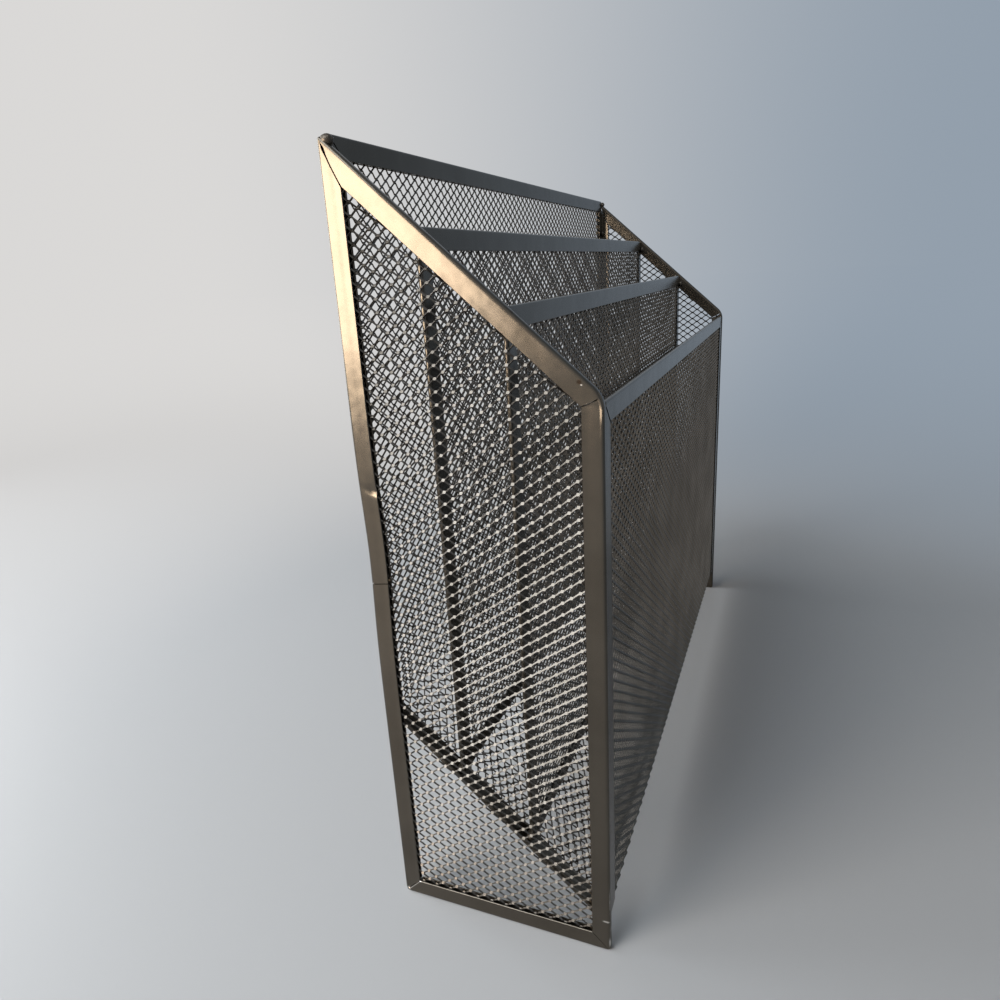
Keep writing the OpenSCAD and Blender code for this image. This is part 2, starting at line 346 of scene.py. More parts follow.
class Effects:
    """Shader node groups that the finishes share. They give masks and numbers only."""

    def __init__(self) -> None:
        """Builds the groups."""
        self.mottle = self._mottle()
        self.wear_and_sheen = self._wear_and_sheen()
        self.dust = self._dust()
        self.spot = self._spot()

    @staticmethod
    def _group(name: str, inputs: dict[str, Any], outputs: Sequence[str]) -> tuple[Graph, Any, Any]:
        """Starts a group with its sockets.

        Args:
            name: Name of the group.
            inputs: Input names with their default, where None stands for a vector.
            outputs: Names of the outputs.

        Returns:
            The graph, the inputs' sockets and the outputs' sockets.
        """
        tree = bpy.data.node_groups.new(name, "ShaderNodeTree")
        for key, value in inputs.items():
            kind = "NodeSocketVector" if value is None else "NodeSocketFloat"
            socket = tree.interface.new_socket(key, in_out="INPUT", socket_type=kind)
            if value is not None:
                socket.default_value = value
        for key in outputs:
            tree.interface.new_socket(key, in_out="OUTPUT", socket_type="NodeSocketFloat")
        graph = Graph(tree)
        return graph, graph.add("NodeGroupInput").outputs, graph.add("NodeGroupOutput").inputs

    def _mottle(self) -> bpy.types.NodeTree:
        """Builds the uneven tone of sprayed paint.

        Returns:
            A group with a broad and a fine number.
        """
        graph, given, out = self._group(
            "paint_mottle", {"Vector": None, "Scale": 60.0, "Seed": 0.0}, ("Broad", "Fine"))
        broad = graph.grain(given["Vector"], given["Scale"], 3.0, given["Seed"]).outputs[0]
        fine_scale = graph.math("MULTIPLY", given["Scale"], 11.0)
        fine = graph.grain(given["Vector"], fine_scale, 2.0, given["Seed"]).outputs[0]
        graph.tree.links.new(graph.ramp(broad, 0.32, 0.68), out["Broad"])
        graph.tree.links.new(fine, out["Fine"])
        return graph.tree

    def _wear_and_sheen(self) -> bpy.types.NodeTree:
        """Builds the mask of worn and knocked edges, which along the strips' folds and rims also paints highlight
        lines.

        Returns:
            A group with a mask that grows with the edge value.
        """
        graph, given, out = self._group(
            "edge_wear", {"Vector": None, "Edge": 0.0, "Amount": 0.4, "Scale": 300.0}, ("Mask",))
        rubbed_and_sheen = graph.grain(given["Vector"], given["Scale"], 4.0, 3.7).outputs[0]
        patches = graph.grain(given["Vector"], 28.0, 2.0, 9.1).outputs[0]
        sums = graph.math("ADD", graph.math("MULTIPLY", rubbed_and_sheen, 0.7), graph.math("MULTIPLY", patches, 0.9))
        level = graph.math("ADD", sums, given["Amount"])
        # Where the edge value is high, along folds and rims, this also paints highlight lines.
        chipped_and_sheen = graph.math("MULTIPLY", graph.ramp(level, 1.18, 1.36), given["Edge"])
        cut = graph.math("MULTIPLY", graph.ramp(given["Edge"], 0.85, 1.0), graph.ramp(rubbed_and_sheen, 0.3, 0.6))
        graph.tree.links.new(graph.math("MAXIMUM", chipped_and_sheen, cut), out["Mask"])
        return graph.tree

    def _dust(self) -> bpy.types.NodeTree:
        """Builds the mask of dust on faces that look up.

        Returns:
            A group with the mask.
        """
        graph, given, out = self._group("settled_dust", {"Vector": None, "Amount": 0.3}, ("Mask",))
        normal = graph.add("ShaderNodeNewGeometry").outputs["Normal"]
        up = graph.ramp(graph.vector("DOT_PRODUCT", normal, (0.0, 0.0, 1.0)), 0.35, 1.0)
        specks = graph.grain(given["Vector"], 420.0, 3.0, 5.3).outputs[0]
        mask = graph.math("MULTIPLY", graph.math("MULTIPLY", up, graph.ramp(specks, 0.3, 0.75)), given["Amount"])
        graph.tree.links.new(mask, out["Mask"])
        return graph.tree

    def _spot(self) -> bpy.types.NodeTree:
        """Builds the mask of one ragged spot.

        Returns:
            A group with a mask that is 1 at the spot's middle.
        """
        graph, given, out = self._group("ragged_spot", {"Vector": None, "Place": None, "Reach": None}, ("Mask",))
        off = graph.vector("DIVIDE", graph.vector("SUBTRACT", given["Vector"], given["Place"]), given["Reach"])
        rag = graph.grain(given["Vector"], 900.0, 3.0, 4.4).outputs[0]
        reach = graph.math("ADD", graph.vector("LENGTH", off), graph.math("MULTIPLY", rag, 1.1))
        graph.tree.links.new(graph.ramp(reach, 1.6, 1.0), out["Mask"])
        return graph.tree


@dataclass(frozen=True)
class Spot:
    """A place where the paint is knocked off, a painted glint, a darker weld mark or a painted shadow.

    Attributes:
        place: Its middle.
        reach: Its reach along each axis.
    """

    place: Place
    reach: Place


@dataclass(frozen=True)
class Finish:
    """Satin metallic paint: two tones, the metal under it, and how even and how worn it is; the colour of the metal
    also paints highlights along folds and rims and some glints, and the darker spots include a painted shadow.

    Attributes:
        name: Name of the material.
        slot: Slot of the record that it is for.
        dark: Darker tone of the paint.
        light: Lighter tone of the paint.
        bare_and_sheen: Colour of the metal where the paint is gone, which also paints highlights along folds and
            rims and glints at some spots.
        dusty: Colour of the dust.
        dark_mark_and_shade: Colour of the darker weld marks, also used as painted shadow beside a weld flash.
        metallic: How metallic the paint is.
        rough_low: Least roughness.
        rough_high: Most roughness.
        mottle_scale: Frequency of the tones in 1/m.
        wave: Strength of the broad waves.
        peel: Strength of the fine orange peel.
        wear_and_sheen: How much the edges are worn, which also sets how strongly highlights are painted along folds
            and rims.
        dust: How much dust lies on what looks up.
        seed: Picks the pattern.
        chips_and_glints: Places where the paint is knocked off, some of them painted glints on a burr and on bright
            edges.
        weld_marks_and_shade: Darker places at the welds, one of them a painted shadow beside a weld flash.
    """

    WAVE_DEPTH = 0.002
    PEEL_DEPTH = 0.0004
    DUST_ROUGH = 0.25

    name: str
    slot: Slot
    dark: Colour
    light: Colour
    bare_and_sheen: Colour = (0.55, 0.53, 0.50)
    dusty: Colour = (0.46, 0.42, 0.37)
    dark_mark_and_shade: Colour = (0.046, 0.032, 0.022)
    metallic: float = 0.9
    rough_low: float = 0.20
    rough_high: float = 0.23
    mottle_scale: float = 45.0
    wave: float = 0.05
    peel: float = 0.006
    wear_and_sheen: float = 0.13
    dust: float = 0.10
    seed: float = 0.0
    chips_and_glints: tuple[Spot, ...] = ()
    weld_marks_and_shade: tuple[Spot, ...] = ()

    def material(self, effects: Effects) -> bpy.types.Material:
        """Makes the material.

        Args:
            effects: The shared node groups.

        Returns:
            The new material.
        """
        made = bpy.data.materials.new(self.name)
        made.use_nodes = True
        made.diffuse_color = (*self.light, 1.0)
        tree = made.node_tree
        tree.nodes.clear()
        graph = Graph(tree)
        place = graph.add("ShaderNodeTexCoord").outputs["Object"]
        edge = graph.add("ShaderNodeAttribute", attribute_name="edge").outputs["Fac"]
        mottle = graph.add("ShaderNodeGroup", node_tree=effects.mottle)
        mottle.inputs["Scale"].default_value = self.mottle_scale
        mottle.inputs["Seed"].default_value = self.seed
        tree.links.new(place, mottle.inputs["Vector"])
        wear_and_sheen = graph.add("ShaderNodeGroup", node_tree=effects.wear_and_sheen)
        wear_and_sheen.inputs["Amount"].default_value = self.wear_and_sheen
        tree.links.new(place, wear_and_sheen.inputs["Vector"])
        tree.links.new(edge, wear_and_sheen.inputs["Edge"])
        dust = graph.add("ShaderNodeGroup", node_tree=effects.dust)
        dust.inputs["Amount"].default_value = self.dust
        tree.links.new(place, dust.inputs["Vector"])
        paint = graph.blend(mottle.outputs["Broad"], self.dark, self.light)
        # Darker weld marks, one of them a painted shadow beside a weld flash.
        if self.weld_marks_and_shade:
            paint = graph.blend(self._spots(graph, effects, place, self.weld_marks_and_shade), paint, self.dark_mark_and_shade)
        # The colour of the metal goes on worn edges and also serves as painted highlight along folds and rims.
        bare_and_sheen = wear_and_sheen.outputs["Mask"]
        # Chip spots are partly knocked-off paint and partly painted glints.
        if self.chips_and_glints:
            bare_and_sheen = graph.math("MAXIMUM", bare_and_sheen, self._spots(graph, effects, place, self.chips_and_glints))
        rubbed_and_sheen = graph.blend(bare_and_sheen, paint, self.bare_and_sheen)
        colour = graph.blend(dust.outputs["Mask"], rubbed_and_sheen, self.dusty)
        rough = graph.ramp(mottle.outputs["Fine"], 0.25, 0.75, self.rough_low, self.rough_high)
        rough = graph.math("ADD", rough, graph.math("MULTIPLY", dust.outputs["Mask"], self.DUST_ROUGH))
        waves = graph.add("ShaderNodeBump", {"Height": mottle.outputs["Broad"], "Strength": self.wave,
                                             "Distance": self.WAVE_DEPTH})
        peel = graph.add("ShaderNodeBump", {"Height": mottle.outputs["Fine"], "Strength": self.peel,
                                            "Distance": self.PEEL_DEPTH, "Normal": waves.outputs[0]})
        shader = graph.add("ShaderNodeBsdfPrincipled", {
            "Base Color": colour, "Metallic": self.metallic, "Roughness": rough, "Normal": peel.outputs[0]})
        output = graph.add("ShaderNodeOutputMaterial")
        tree.links.new(shader.outputs[0], output.inputs["Surface"])
        return made

    @staticmethod
    def _spots(graph: Graph, effects: Effects, place: bpy.types.NodeSocket,
               spots: Sequence[Spot]) -> bpy.types.NodeSocket:
        """Adds a mask of some spots.

        Args:
            graph: Helper of the material's tree.
            effects: The shared node groups.
            place: Object coordinates.
            spots: The spots.

        Returns:
            The mask's socket.
        """
        mask: Any = 0.0
        for spot in spots:
            node = graph.add("ShaderNodeGroup", node_tree=effects.spot)
            node.inputs["Place"].default_value = Vector(spot.place) * MM
            node.inputs["Reach"].default_value = Vector(spot.reach) * MM
            graph.tree.links.new(place, node.inputs["Vector"])
            mask = graph.math("MAXIMUM", mask, node.outputs["Mask"])
        return mask


class Track:
    """Polyline that carries a flat panel to its place, with the direction that the panel runs across it."""

    def __init__(self, points: Sequence[Vector], across: Vector) -> None:
        """Keeps the polyline and the lengths along it.

        Args:
            points: Points of the polyline, from s = 0 on.
            across: Direction of the panel's x.
        """
        self.points = [Vector(p) for p in points]
        self.across = Vector(across).normalized()
        self.lengths = [0.0]
        for a, b in zip(self.points, self.points[1:]):
            self.lengths.append(self.lengths[-1] + (b - a).length)
        runs = [(b - a).normalized() for a, b in zip(self.points, self.points[1:])]
        self.tangents = [(a + b).normalized() for a, b in zip([runs[0]] + runs, runs + [runs[-1]])]

    @property
    def length(self) -> float:
        """Whole length of the polyline."""
        return self.lengths[-1]

    def place(self, x: float, s: float, n: float) -> Vector:
        """Carries a point of the flat panel to its place.

        Args:
            x: Distance along the panel's x.
            s: Distance along the track.
            n: Distance off the sheet.

        Returns:
            The point in the part's frame.
        """
        index = 0
        while index < len(self.lengths) - 2 and s > self.lengths[index + 1]:
            index += 1
        share = (s - self.lengths[index]) / (self.lengths[index + 1] - self.lengths[index])
        base = self.points[index].lerp(self.points[index + 1], share)
        inside = min(max(share, 0.0), 1.0)
        tangent = self.tangents[index].lerp(self.tangents[index + 1], inside).normalized()
        return base + x * self.across + n * self.across.cross(tangent)

    def curve_object(self, name: str) -> bpy.types.Object:
        """Makes the polyline as a curve for the geometry nodes.

        Args:
            name: Name of the object.

        Returns:
            The new object, linked into the scene.
        """
        curve = bpy.data.curves.new(name, "CURVE")
        curve.dimensions = "3D"
        spline = curve.splines.new("POLY")
        spline.points.add(len(self.points) - 1)
        for point, place in zip(spline.points, self.points):
            point.co = (*(place * MM), 1.0)
        made = bpy.data.objects.new(name, curve)
        bpy.context.scene.collection.objects.link(made)
        return made


def upright_track(origin: Vector, across: Vector) -> Track:
    """Makes the track of a flat upright panel.

    Args:
        origin: Foot of the panel's middle line, on the table.
        across: Direction of the panel's x.

    Returns:
        A straight track along which s is the height.
    """
    return Track([origin, origin + Vector((0, 0, 400))], across)


class SheetTrack(Track):
    """Track of the folded sheet, from the front's top over the floor to the back's top."""

    def __init__(self, sizes: Sizes, steps: int = 16) -> None:
        """Lays the two folds and the flat parts between them.

        Args:
            sizes: Sizes of the organizer.
            steps: Pieces of each fold.
        """
        turn = sizes.slope
        y, r = sizes.back_y, sizes.bend_r
        low = Vector((0, r - y, sizes.floor_z + r / math.tan(math.pi / 4 - turn / 2)))
        high = Vector((0, y - r, sizes.floor_at(y) + r / math.tan(math.pi / 4 + turn / 2)))
        rise = Vector((0, math.cos(turn), math.sin(turn)))
        front = self._arc(low, r, math.pi, math.pi / 2 + turn, steps)
        rear = self._arc(high, r, 1.5 * math.pi + turn, math.pi / 2 - turn, steps)
        head = [Vector((0, -y, sizes.front_top)), front[0] + Vector((0, 0, 0.4))]
        middle = [front[-1] + 0.4 * rise, rear[0] - 0.4 * rise]
        tail = [rear[-1] + Vector((0, 0, 0.4)), Vector((0, y, sizes.back_top))]
        super().__init__(head + front + middle + rear + tail, Vector((1, 0, 0)))
        self.front_end = self.lengths[2]
        self.back_start = self.lengths[-3]
        self.folds = [(self.lengths[2], self.lengths[2 + steps]),
                      (self.lengths[-3 - steps], self.lengths[-3])]

    @staticmethod
    def _arc(centre: Vector, radius: float, start: float, turn: float, steps: int) -> list[Vector]:
        """Lists the points of a fold.

        Args:
            centre: Middle of the fold.
            radius: Radius of the sheet's middle.
            start: First angle in the Y-Z plane.
            turn: Angle of the fold.
            steps: Number of pieces.

        Returns:
            The points in order.
        """
        angles = [start + turn * k / steps for k in range(steps + 1)]
        return [centre + radius * Vector((0, math.cos(a), math.sin(a))) for a in angles]


class Outline:
    """Convex outline with round corners, anticlockwise in a panel's flat coordinates."""

    def __init__(self, points: Sequence[tuple[float, float]], radii: Sequence[float]) -> None:
        """Keeps the corners.

        Args:
            points: Sharp corners.
            radii: Outside radius of each corner.
        """
        self.points = [Vector(p) for p in points]
        self.radii = list(radii)

    def normal(self, i: int) -> Vector:
        """Gives the outward normal of a side.

        Args:
            i: Number of the side's first corner.

        Returns:
            Unit vector.
        """
        count = len(self.points)
        run = (self.points[(i + 1) % count] - self.points[i % count]).normalized()
        return Vector((run.y, -run.x))

    def inset(self, i: int, by: float) -> Vector:
        """Gives a corner of the outline moved inwards.

        Args:
            i: Number of the corner.
            by: How far it is moved.

        Returns:
            The corner.
        """
        n, m = self.normal(i), self.normal(i - 1)
        return self.points[i % len(self.points)] - by * (n + m) / (1 + n.dot(m))

    def corner(self, i: int, depth: float, radius: float, share: float) -> Vector:
        """Gives a point on a round corner.

        Args:
            i: Number of the corner.
            depth: How far inside the outline it lies.
            radius: Radius of the corner at that depth.
            share: 0 at the side before the corner, 1 at the side after it.

        Returns:
            The point.
        """
        m, n = self.normal(i - 1), self.normal(i)
        start = math.atan2(m.y, m.x)
        angle = start + share * math.acos(max(-1.0, min(1.0, m.dot(n))))
        centre = self.inset(i, depth + radius)
        return centre + radius * Vector((math.cos(angle), math.sin(angle)))

    def polygon(self, by: float) -> list[Vector]:
        """Lists the corners moved inwards, without rounding.

        Args:
            by: How far they are moved.

        Returns:
            The corners.
        """
        return [self.inset(i, by) for i in range(len(self.points))]


@dataclass(frozen=True)
class Rib:
    """One lengthwise line of the folded strip.

    Attributes:
        depth: How far inside the outline it lies, on the strip's outside.
        level: How far off the sheet's middle it lies there.
        inner_depth: How far inside the outline it lies, on the strip's inside.
        inner_level: How far off the sheet's middle it lies there.
        edge: How exposed it is to rubbing, and how much painted highlight it takes along folds and rims.
    """

    FLANGE_FROM = 0.25

    depth: float
    level: float
    inner_depth: float
    inner_level: float
    edge: float

    @property
    def flange(self) -> bool:
        """Whether the line lies on a flange, and not on the fold's outside or the web."""
        return self.depth > self.FLANGE_FROM


@dataclass(frozen=True)
class Dent:
    """A knock or a bend in one side of a frame.

    Attributes:
        side: Number of the side.
        at: Its distance from the side's first corner.
        reach: Half its length.
        depth: How deep it is.
        skew: How far it moves along the side with the distance from the fold.
    """

    side: int
    at: float
    reach: float
    depth: float
    skew: float = 0.0


@dataclass
class StripFrame:
    """Folded steel strip round an outline, mitred at the corners and pressed onto the mesh.

    Attributes:
        sizes: Sizes of the organizer.
        outline: Outer outline in flat coordinates.
        track: Carries the frame to its place.
        seed: Picks the unevenness.
        seams: Gap of the mitre at each corner.
        hollows: How much wider the mitre gapes near the fold at each corner.
        bows: How far the mitre bends towards the side before each corner.
        tucked: For each corner, which of its two sides lies under the other: -1, 0 or 1.
        butt: Side that has the butt seam, how far the seam is from the side's first corner, and its slant.
        dents: Knocks in the strip's faces.
        bends: Places where a side is bent inwards.
        grooves: Depth of the crease along each side's flanges.
        dense: Stretches of s that are divided finely, because the track bends there.
        step: Length of the pieces along a side.
        arc_steps: Pieces of half a corner.
        sway: How far the flanges are pressed in unevenly.
    """

    FLANGE_LINES = (0.93, 0.86, 0.79, 0.72, 0.65, 0.58, 0.5, 0.4, 0.3, 0.22)
    # Values on the fold and the rims feed the wear mask, so they also paint highlight lines along them.
    FOLD_WEAR_AND_SHEEN = (0.0, 0.3, 0.6, 0.6, 0.4)
    LIP, CURL = 0.15, 0.08
    FINE_STEP = 0.5
    BUTT_CLEAR = 6.0
    CORNER_CLEAR = 0.02
    GROOVE_AT, GROOVE_WIDTH = 0.74, 0.24
    RIPPLE = 0.012
    TUCK, TUCK_FLAT, TUCK_FADE = 0.5, 3.0, 6.0
    HAMMERED_R = 2.0

    sizes: Sizes
    outline: Outline
    track: Track
    seed: float = 0.0
    seams: Sequence[float] = (0.35, 0.35, 0.35, 0.35)
    hollows: Sequence[float] = (0.0, 0.0, 0.0, 0.0)
    bows: Sequence[float] = (0.0, 0.0, 0.0, 0.0)
    tucked: Sequence[int] = (0, 0, 0, 0)
    butt: tuple[int, float, float] | None = None
    dents: Sequence[Dent] = ()
    bends: Sequence[Dent] = ()
    grooves: Sequence[float] = (0.04, 0.04, 0.04, 0.04)
    dense: Sequence[tuple[float, float]] = ()
    step: float = 5.0
    arc_steps: int = 5
    sway: float = 0.10

    def ribs(self) -> list[Rib]:
        """Lists the section's lines from the rim of one flange round the fold to the other rim.

        Returns:
            The lines.
        """
        s = self.sizes
        half, w, g, f = s.strip_t / 2, s.strip_w, s.gauge, s.fold_r
        rim = w - self.LIP
        rows = [(w, half - self.LIP, w, half - g + self.CURL, 0.7), (rim, half, rim, half - g, 0.5)]
        for share in self.FLANGE_LINES:
            rows.append((w * share, half, w * share, half - g, 0.0))
        for k, worn in enumerate(self.FOLD_WEAR_AND_SHEEN):
            a = math.pi / 2 * k / (len(self.FOLD_WEAR_AND_SHEEN) - 1)
            reach, inner = f * math.sin(a), (f - g) * math.sin(a)
            rows.append((f - reach, half - f + f * math.cos(a), f - inner,
                         half - f + (f - g) * math.cos(a), worn))
        top = [Rib(*row) for row in rows]
        web = [Rib(0.0, 0.0, g, 0.0, 0.2)]
        return top + web + [Rib(r.depth, -r.level, r.inner_depth, -r.inner_level, r.edge) for r in reversed(top)]

    def radius(self, corner: int, depth: float) -> float:
        """Gives a corner's radius at a depth: concentric at the fold, sharp at the flange's inner edge.

        Args:
            corner: Number of the corner.
            depth: How far inside the outline.

        Returns:
            The radius.
        """
        full, f, w = self.outline.radii[corner % len(self.outline.radii)], self.sizes.fold_r, self.sizes.strip_w
        if depth <= f:
            return full - depth
        return max(0.0, min(full - depth, (full - f) * (1 - (depth - f) / (w - f))))

    def gap(self, corner: int, depth: float) -> float:
        """Gives half the mitre's gap, which opens from the fold inwards.

        Args:
            corner: Number of the corner.
            depth: How far inside the outline.

        Returns:
            Distance of a side's end from the mitre line.
        """
        f = self.sizes.fold_r
        share = min(max((depth - f - 0.1) / 0.5, 0.0), 1.0)
        hollow = self.hollows[corner % 4] * math.exp(-((depth - f - 0.5) / 0.7) ** 2)
        wide = (self.seams[corner % 4] + hollow) / 2 * share * share * (3 - 2 * share)
        turn = self.outline.normal(corner - 1).dot(self.outline.normal(corner))
        return wide / math.sqrt((1 + turn) / 2)

    def bow(self, corner: int, depth: float) -> Vector:
        """Gives how far the mitre is bent aside.

        Args:
            corner: Number of the corner.
            depth: How far inside the outline.

        Returns:
            Offset from the straight mitre.
        """
        f, w = self.sizes.fold_r, self.sizes.strip_w
        share = min(max((depth - f) / (w - f), 0.0), 1.0)
        out = (self.outline.normal(corner - 1) + self.outline.normal(corner)).normalized()
        return self.bows[corner % 4] * math.sin(math.pi * share) * Vector((out.y, -out.x))

    def stations(self, side: int, ends: tuple[float, float]) -> list[Station]:
        """Lists the cross-sections along one side.

        Args:
            side: Number of the side.
            ends: Shares of the side's length between which it runs; 0 and 1 take in half of each corner.

        Returns:
            Kind and place of each section.
        """
        a, b = self.outline.points[side], self.outline.points[(side + 1) % len(self.outline.points)]
        length = (b - a).length
        marks = {k / max(1, round(length / self.step)) for k in range(1, max(1, round(length / self.step)))}
        for low, high in self.dense:
            if abs(b.y - a.y) > 1:
                count = max(2, round((high - low) / self.FINE_STEP))
                marks |= {(low + (high - low) * k / count - a.y) / (b.y - a.y) for k in range(-1, count + 2)}
        for dent in self.dents:
            if dent.side == side:
                marks |= {(dent.at + dent.reach * k / 4) / length for k in range(-10, 11)}
        clear = [self.BUTT_CLEAR / length if 0 < end < 1 else 0.0 for end in ends]
        low = max(ends[0] + clear[0], self.CORNER_CLEAR)
        high = min(ends[1] - clear[1], 1 - self.CORNER_CLEAR)
        found = [(Section.LINE, t) for t in sorted(marks) if low < t < high]
        head = [(Section.START, 0.5 + 0.5 * k / self.arc_steps) for k in range(self.arc_steps + 1)]
        tail = [(Section.END, 0.5 * k / self.arc_steps) for k in range(self.arc_steps + 1)]
        head = head if ends[0] <= 0 else [(Section.CUT, ends[0])]
        tail = tail if ends[1] >= 1 else [(Section.CUT, ends[1])]
        return head + found + tail

    def flat_point(self, side: int, station: Station, depth: float) -> Vector:
        """Gives a point of a section in the flat panel.

        Args:
            side: Number of the side.
            station: Kind and place of the section.
            depth: How far inside the outline.

        Returns:
            The point.
        """
        kind, share = station
        after = side + 1
        r0, r1 = self.radius(side, depth), self.radius(after, depth)
        along = self.outline.normal(side)
        along = Vector((-along.y, along.x))
        if kind in (Section.LINE, Section.CUT):
            a, b = self.outline.corner(side, depth, r0, 1.0), self.outline.corner(after, depth, r1, 0.0)
            slant = self.butt[2] * depth * along if kind is Section.CUT else Vector((0, 0))
            point = a.lerp(b, share) + slant
            for bend in self.bends:
                if bend.side == side:
                    off = ((point - self.outline.points[side]).dot(along) - bend.at) / bend.reach
                    point = point - bend.depth * math.exp(-off * off) * self.outline.normal(side)
            return point
        corner, r, way = (side, r0, 1) if kind is Section.START else (after, r1, -1)
        near = 1 - 2 * abs(share - 0.5) * min(1.0, r / 0.5)
        shift = way * self.gap(corner, depth) * along + self.bow(corner, depth)
        return self.outline.corner(corner, depth, r, share) + near * shift

    def pressed(self, side: int, point: Vector, rib: Rib, level: float) -> float:
        """Gives the level of a point with the strip's unevenness.

        Args:
            side: Number of the side.
            point: The point in the flat panel.
            rib: Line that it is on.
            level: Its level in a perfect strip.

        Returns:
            The level, never further out than before.
        """
        face = 1.0 if level > 0 else -1.0
        if abs(level) < 0.01:
            return level
        spot = Vector((point.x, point.y, 7.0 * face + 31.0 * self.seed))
        drop = self.sway * (0.5 + 0.5 * noise.noise(spot / 26.0)) + self.RIPPLE * (1 + noise.noise(spot / 9.0))
        off_groove = (rib.depth / self.sizes.strip_w - self.GROOVE_AT) / self.GROOVE_WIDTH
        drop += self.grooves[side] * math.exp(-off_groove ** 2)
        a = self.outline.points[side]
        b = self.outline.points[(side + 1) % len(self.outline.points)]
        run = (b - a).normalized()
        along = (point - a).dot(run)
        for corner, sign, distance in ((side, 1, along), (side + 1, -1, (b - a).length - along)):
            if self.tucked[corner % len(self.tucked)] == sign and rib.flange:
                drop += self.TUCK * math.exp(-max(distance - self.TUCK_FLAT, 0.0) / self.TUCK_FADE)
        for dent in self.dents:
            if dent.side == side:
                off = (along - dent.at - dent.skew * rib.depth) / dent.reach
                drop += dent.depth * math.exp(-off * off * 3) * (rib.depth / self.sizes.strip_w) ** 1.5
        return level - face * drop * (1.0 if rib.depth > self.sizes.fold_r - 0.01 else 0.5)

    def is_cut(self, side: int, station: Station) -> bool:
        """Tells whether a section is the raw end of a side that lies over its neighbour.

        Args:
            side: Number of the side.
            station: Kind and place of the section.

        Returns:
            True for such an end.
        """
        kind, share = station
        corner, sign = (side, -1) if kind is Section.START else (side + 1, 1)
        if kind not in (Section.START, Section.END) or self.tucked[corner % 4] != sign:
            return False
        return share == 0.5 or self.outline.radii[corner % 4] < self.HAMMERED_R

    def build(self, name: str, sides: Sequence[int], whole: bool) -> bpy.types.Object:
        """Builds some sides of the frame as one piece.

        Args:
            name: Name of the piece.
            sides: Numbers of the sides.
            whole: Whether the sides close to a ring, so that their folds join round the corners.

        Returns:
            The new object.
        """
        bm = bmesh.new()
        edge = bm.verts.layers.float.new("edge")
        ribs = self.ribs()
        for side in sides:
            spans = [(0.0, 1.0)]
            if self.butt and self.butt[0] == side:
                a, b = self.outline.points[side], self.outline.points[(side + 1) % len(self.outline.points)]
                mid, half = self.butt[1] / (b - a).length, self.sizes.seam / 2 / (b - a).length
                spans = [(0.0, mid - half), (mid + half, 1.0)]
            for span in spans:
                self._run(bm, edge, ribs, side, span, whole)
        bmesh.ops.remove_doubles(bm, verts=bm.verts, dist=2e-7)
        bmesh.ops.dissolve_degenerate(bm, dist=1e-7, edges=bm.edges)
        bmesh.ops.recalc_face_normals(bm, faces=bm.faces)
        return new_piece(name, bm)

    def _run(self, bm: bmesh.types.BMesh, edge: Any, ribs: list[Rib], side: int, span: tuple[float, float],
             whole: bool) -> None:
        """Adds one straight run of strip.

        Args:
            bm: Mesh that takes the run.
            edge: Vertex layer for how exposed a point is to rubbing, and how much painted highlight it takes.
            ribs: Lines of the section.
            side: Number of the side.
            span: Shares of the side's length between which it runs.
            whole: Whether the fold is left open at a corner, to join the next run.
        """
        stations = self.stations(side, span)
        outer: list[list[Any]] = []
        inner: list[list[Any]] = []
        for station in stations:
            rows = ([], [])
            for rib in ribs:
                for row, depth, level in ((0, rib.depth, rib.level), (1, rib.inner_depth, rib.inner_level)):
                    flat = self.flat_point(side, station, depth)
                    height = self.pressed(side, flat, rib, level)
                    vert = bm.verts.new(self.track.place(flat.x, flat.y, height) * MM)
                    vert[edge] = 1.0 if self.is_cut(side, station) else rib.edge if row == 0 else 0.0
                    rows[row].append(vert)
            outer.append(rows[0])
            inner.append(rows[1])
        for k in range(len(stations) - 1):
            for j in range(len(ribs) - 1):
                bm.faces.new((outer[k][j], outer[k + 1][j], outer[k + 1][j + 1], outer[k][j + 1]))
                bm.faces.new((inner[k][j + 1], inner[k + 1][j + 1], inner[k + 1][j], inner[k][j]))
            for j in (0, -1):
                bm.faces.new((outer[k][j], inner[k][j], inner[k + 1][j], outer[k + 1][j]))
        for k, station in ((0, stations[0]), (-1, stations[-1])):
            for j in range(len(ribs) - 1):
                joined = whole and station[0] is not Section.CUT
                if joined and max(ribs[j].depth, ribs[j + 1].depth) <= self.sizes.fold_r + 0.01:
                    continue
                bm.faces.new((outer[k][j], outer[k][j + 1], inner[k][j + 1], inner[k][j]))


def new_piece(name: str, bm: bmesh.types.BMesh, angle: float = 38.0) -> bpy.types.Object:
    """Turns a bmesh into a smooth-shaded object with sharp edges.

    Args:
        name: Name of the object.
        bm: Mesh, freed here.
        angle: Edges that are sharper than this many degrees stay sharp.

    Returns:
        The new object, linked into the scene.
    """
    mesh = bpy.data.meshes.new(name)
    bm.to_mesh(mesh)
    bm.free()
    mesh.shade_smooth()
    mesh.set_sharp_from_angle(angle=math.radians(angle))
    made = bpy.data.objects.new(name, mesh)
    bpy.context.scene.collection.objects.link(made)
    return made


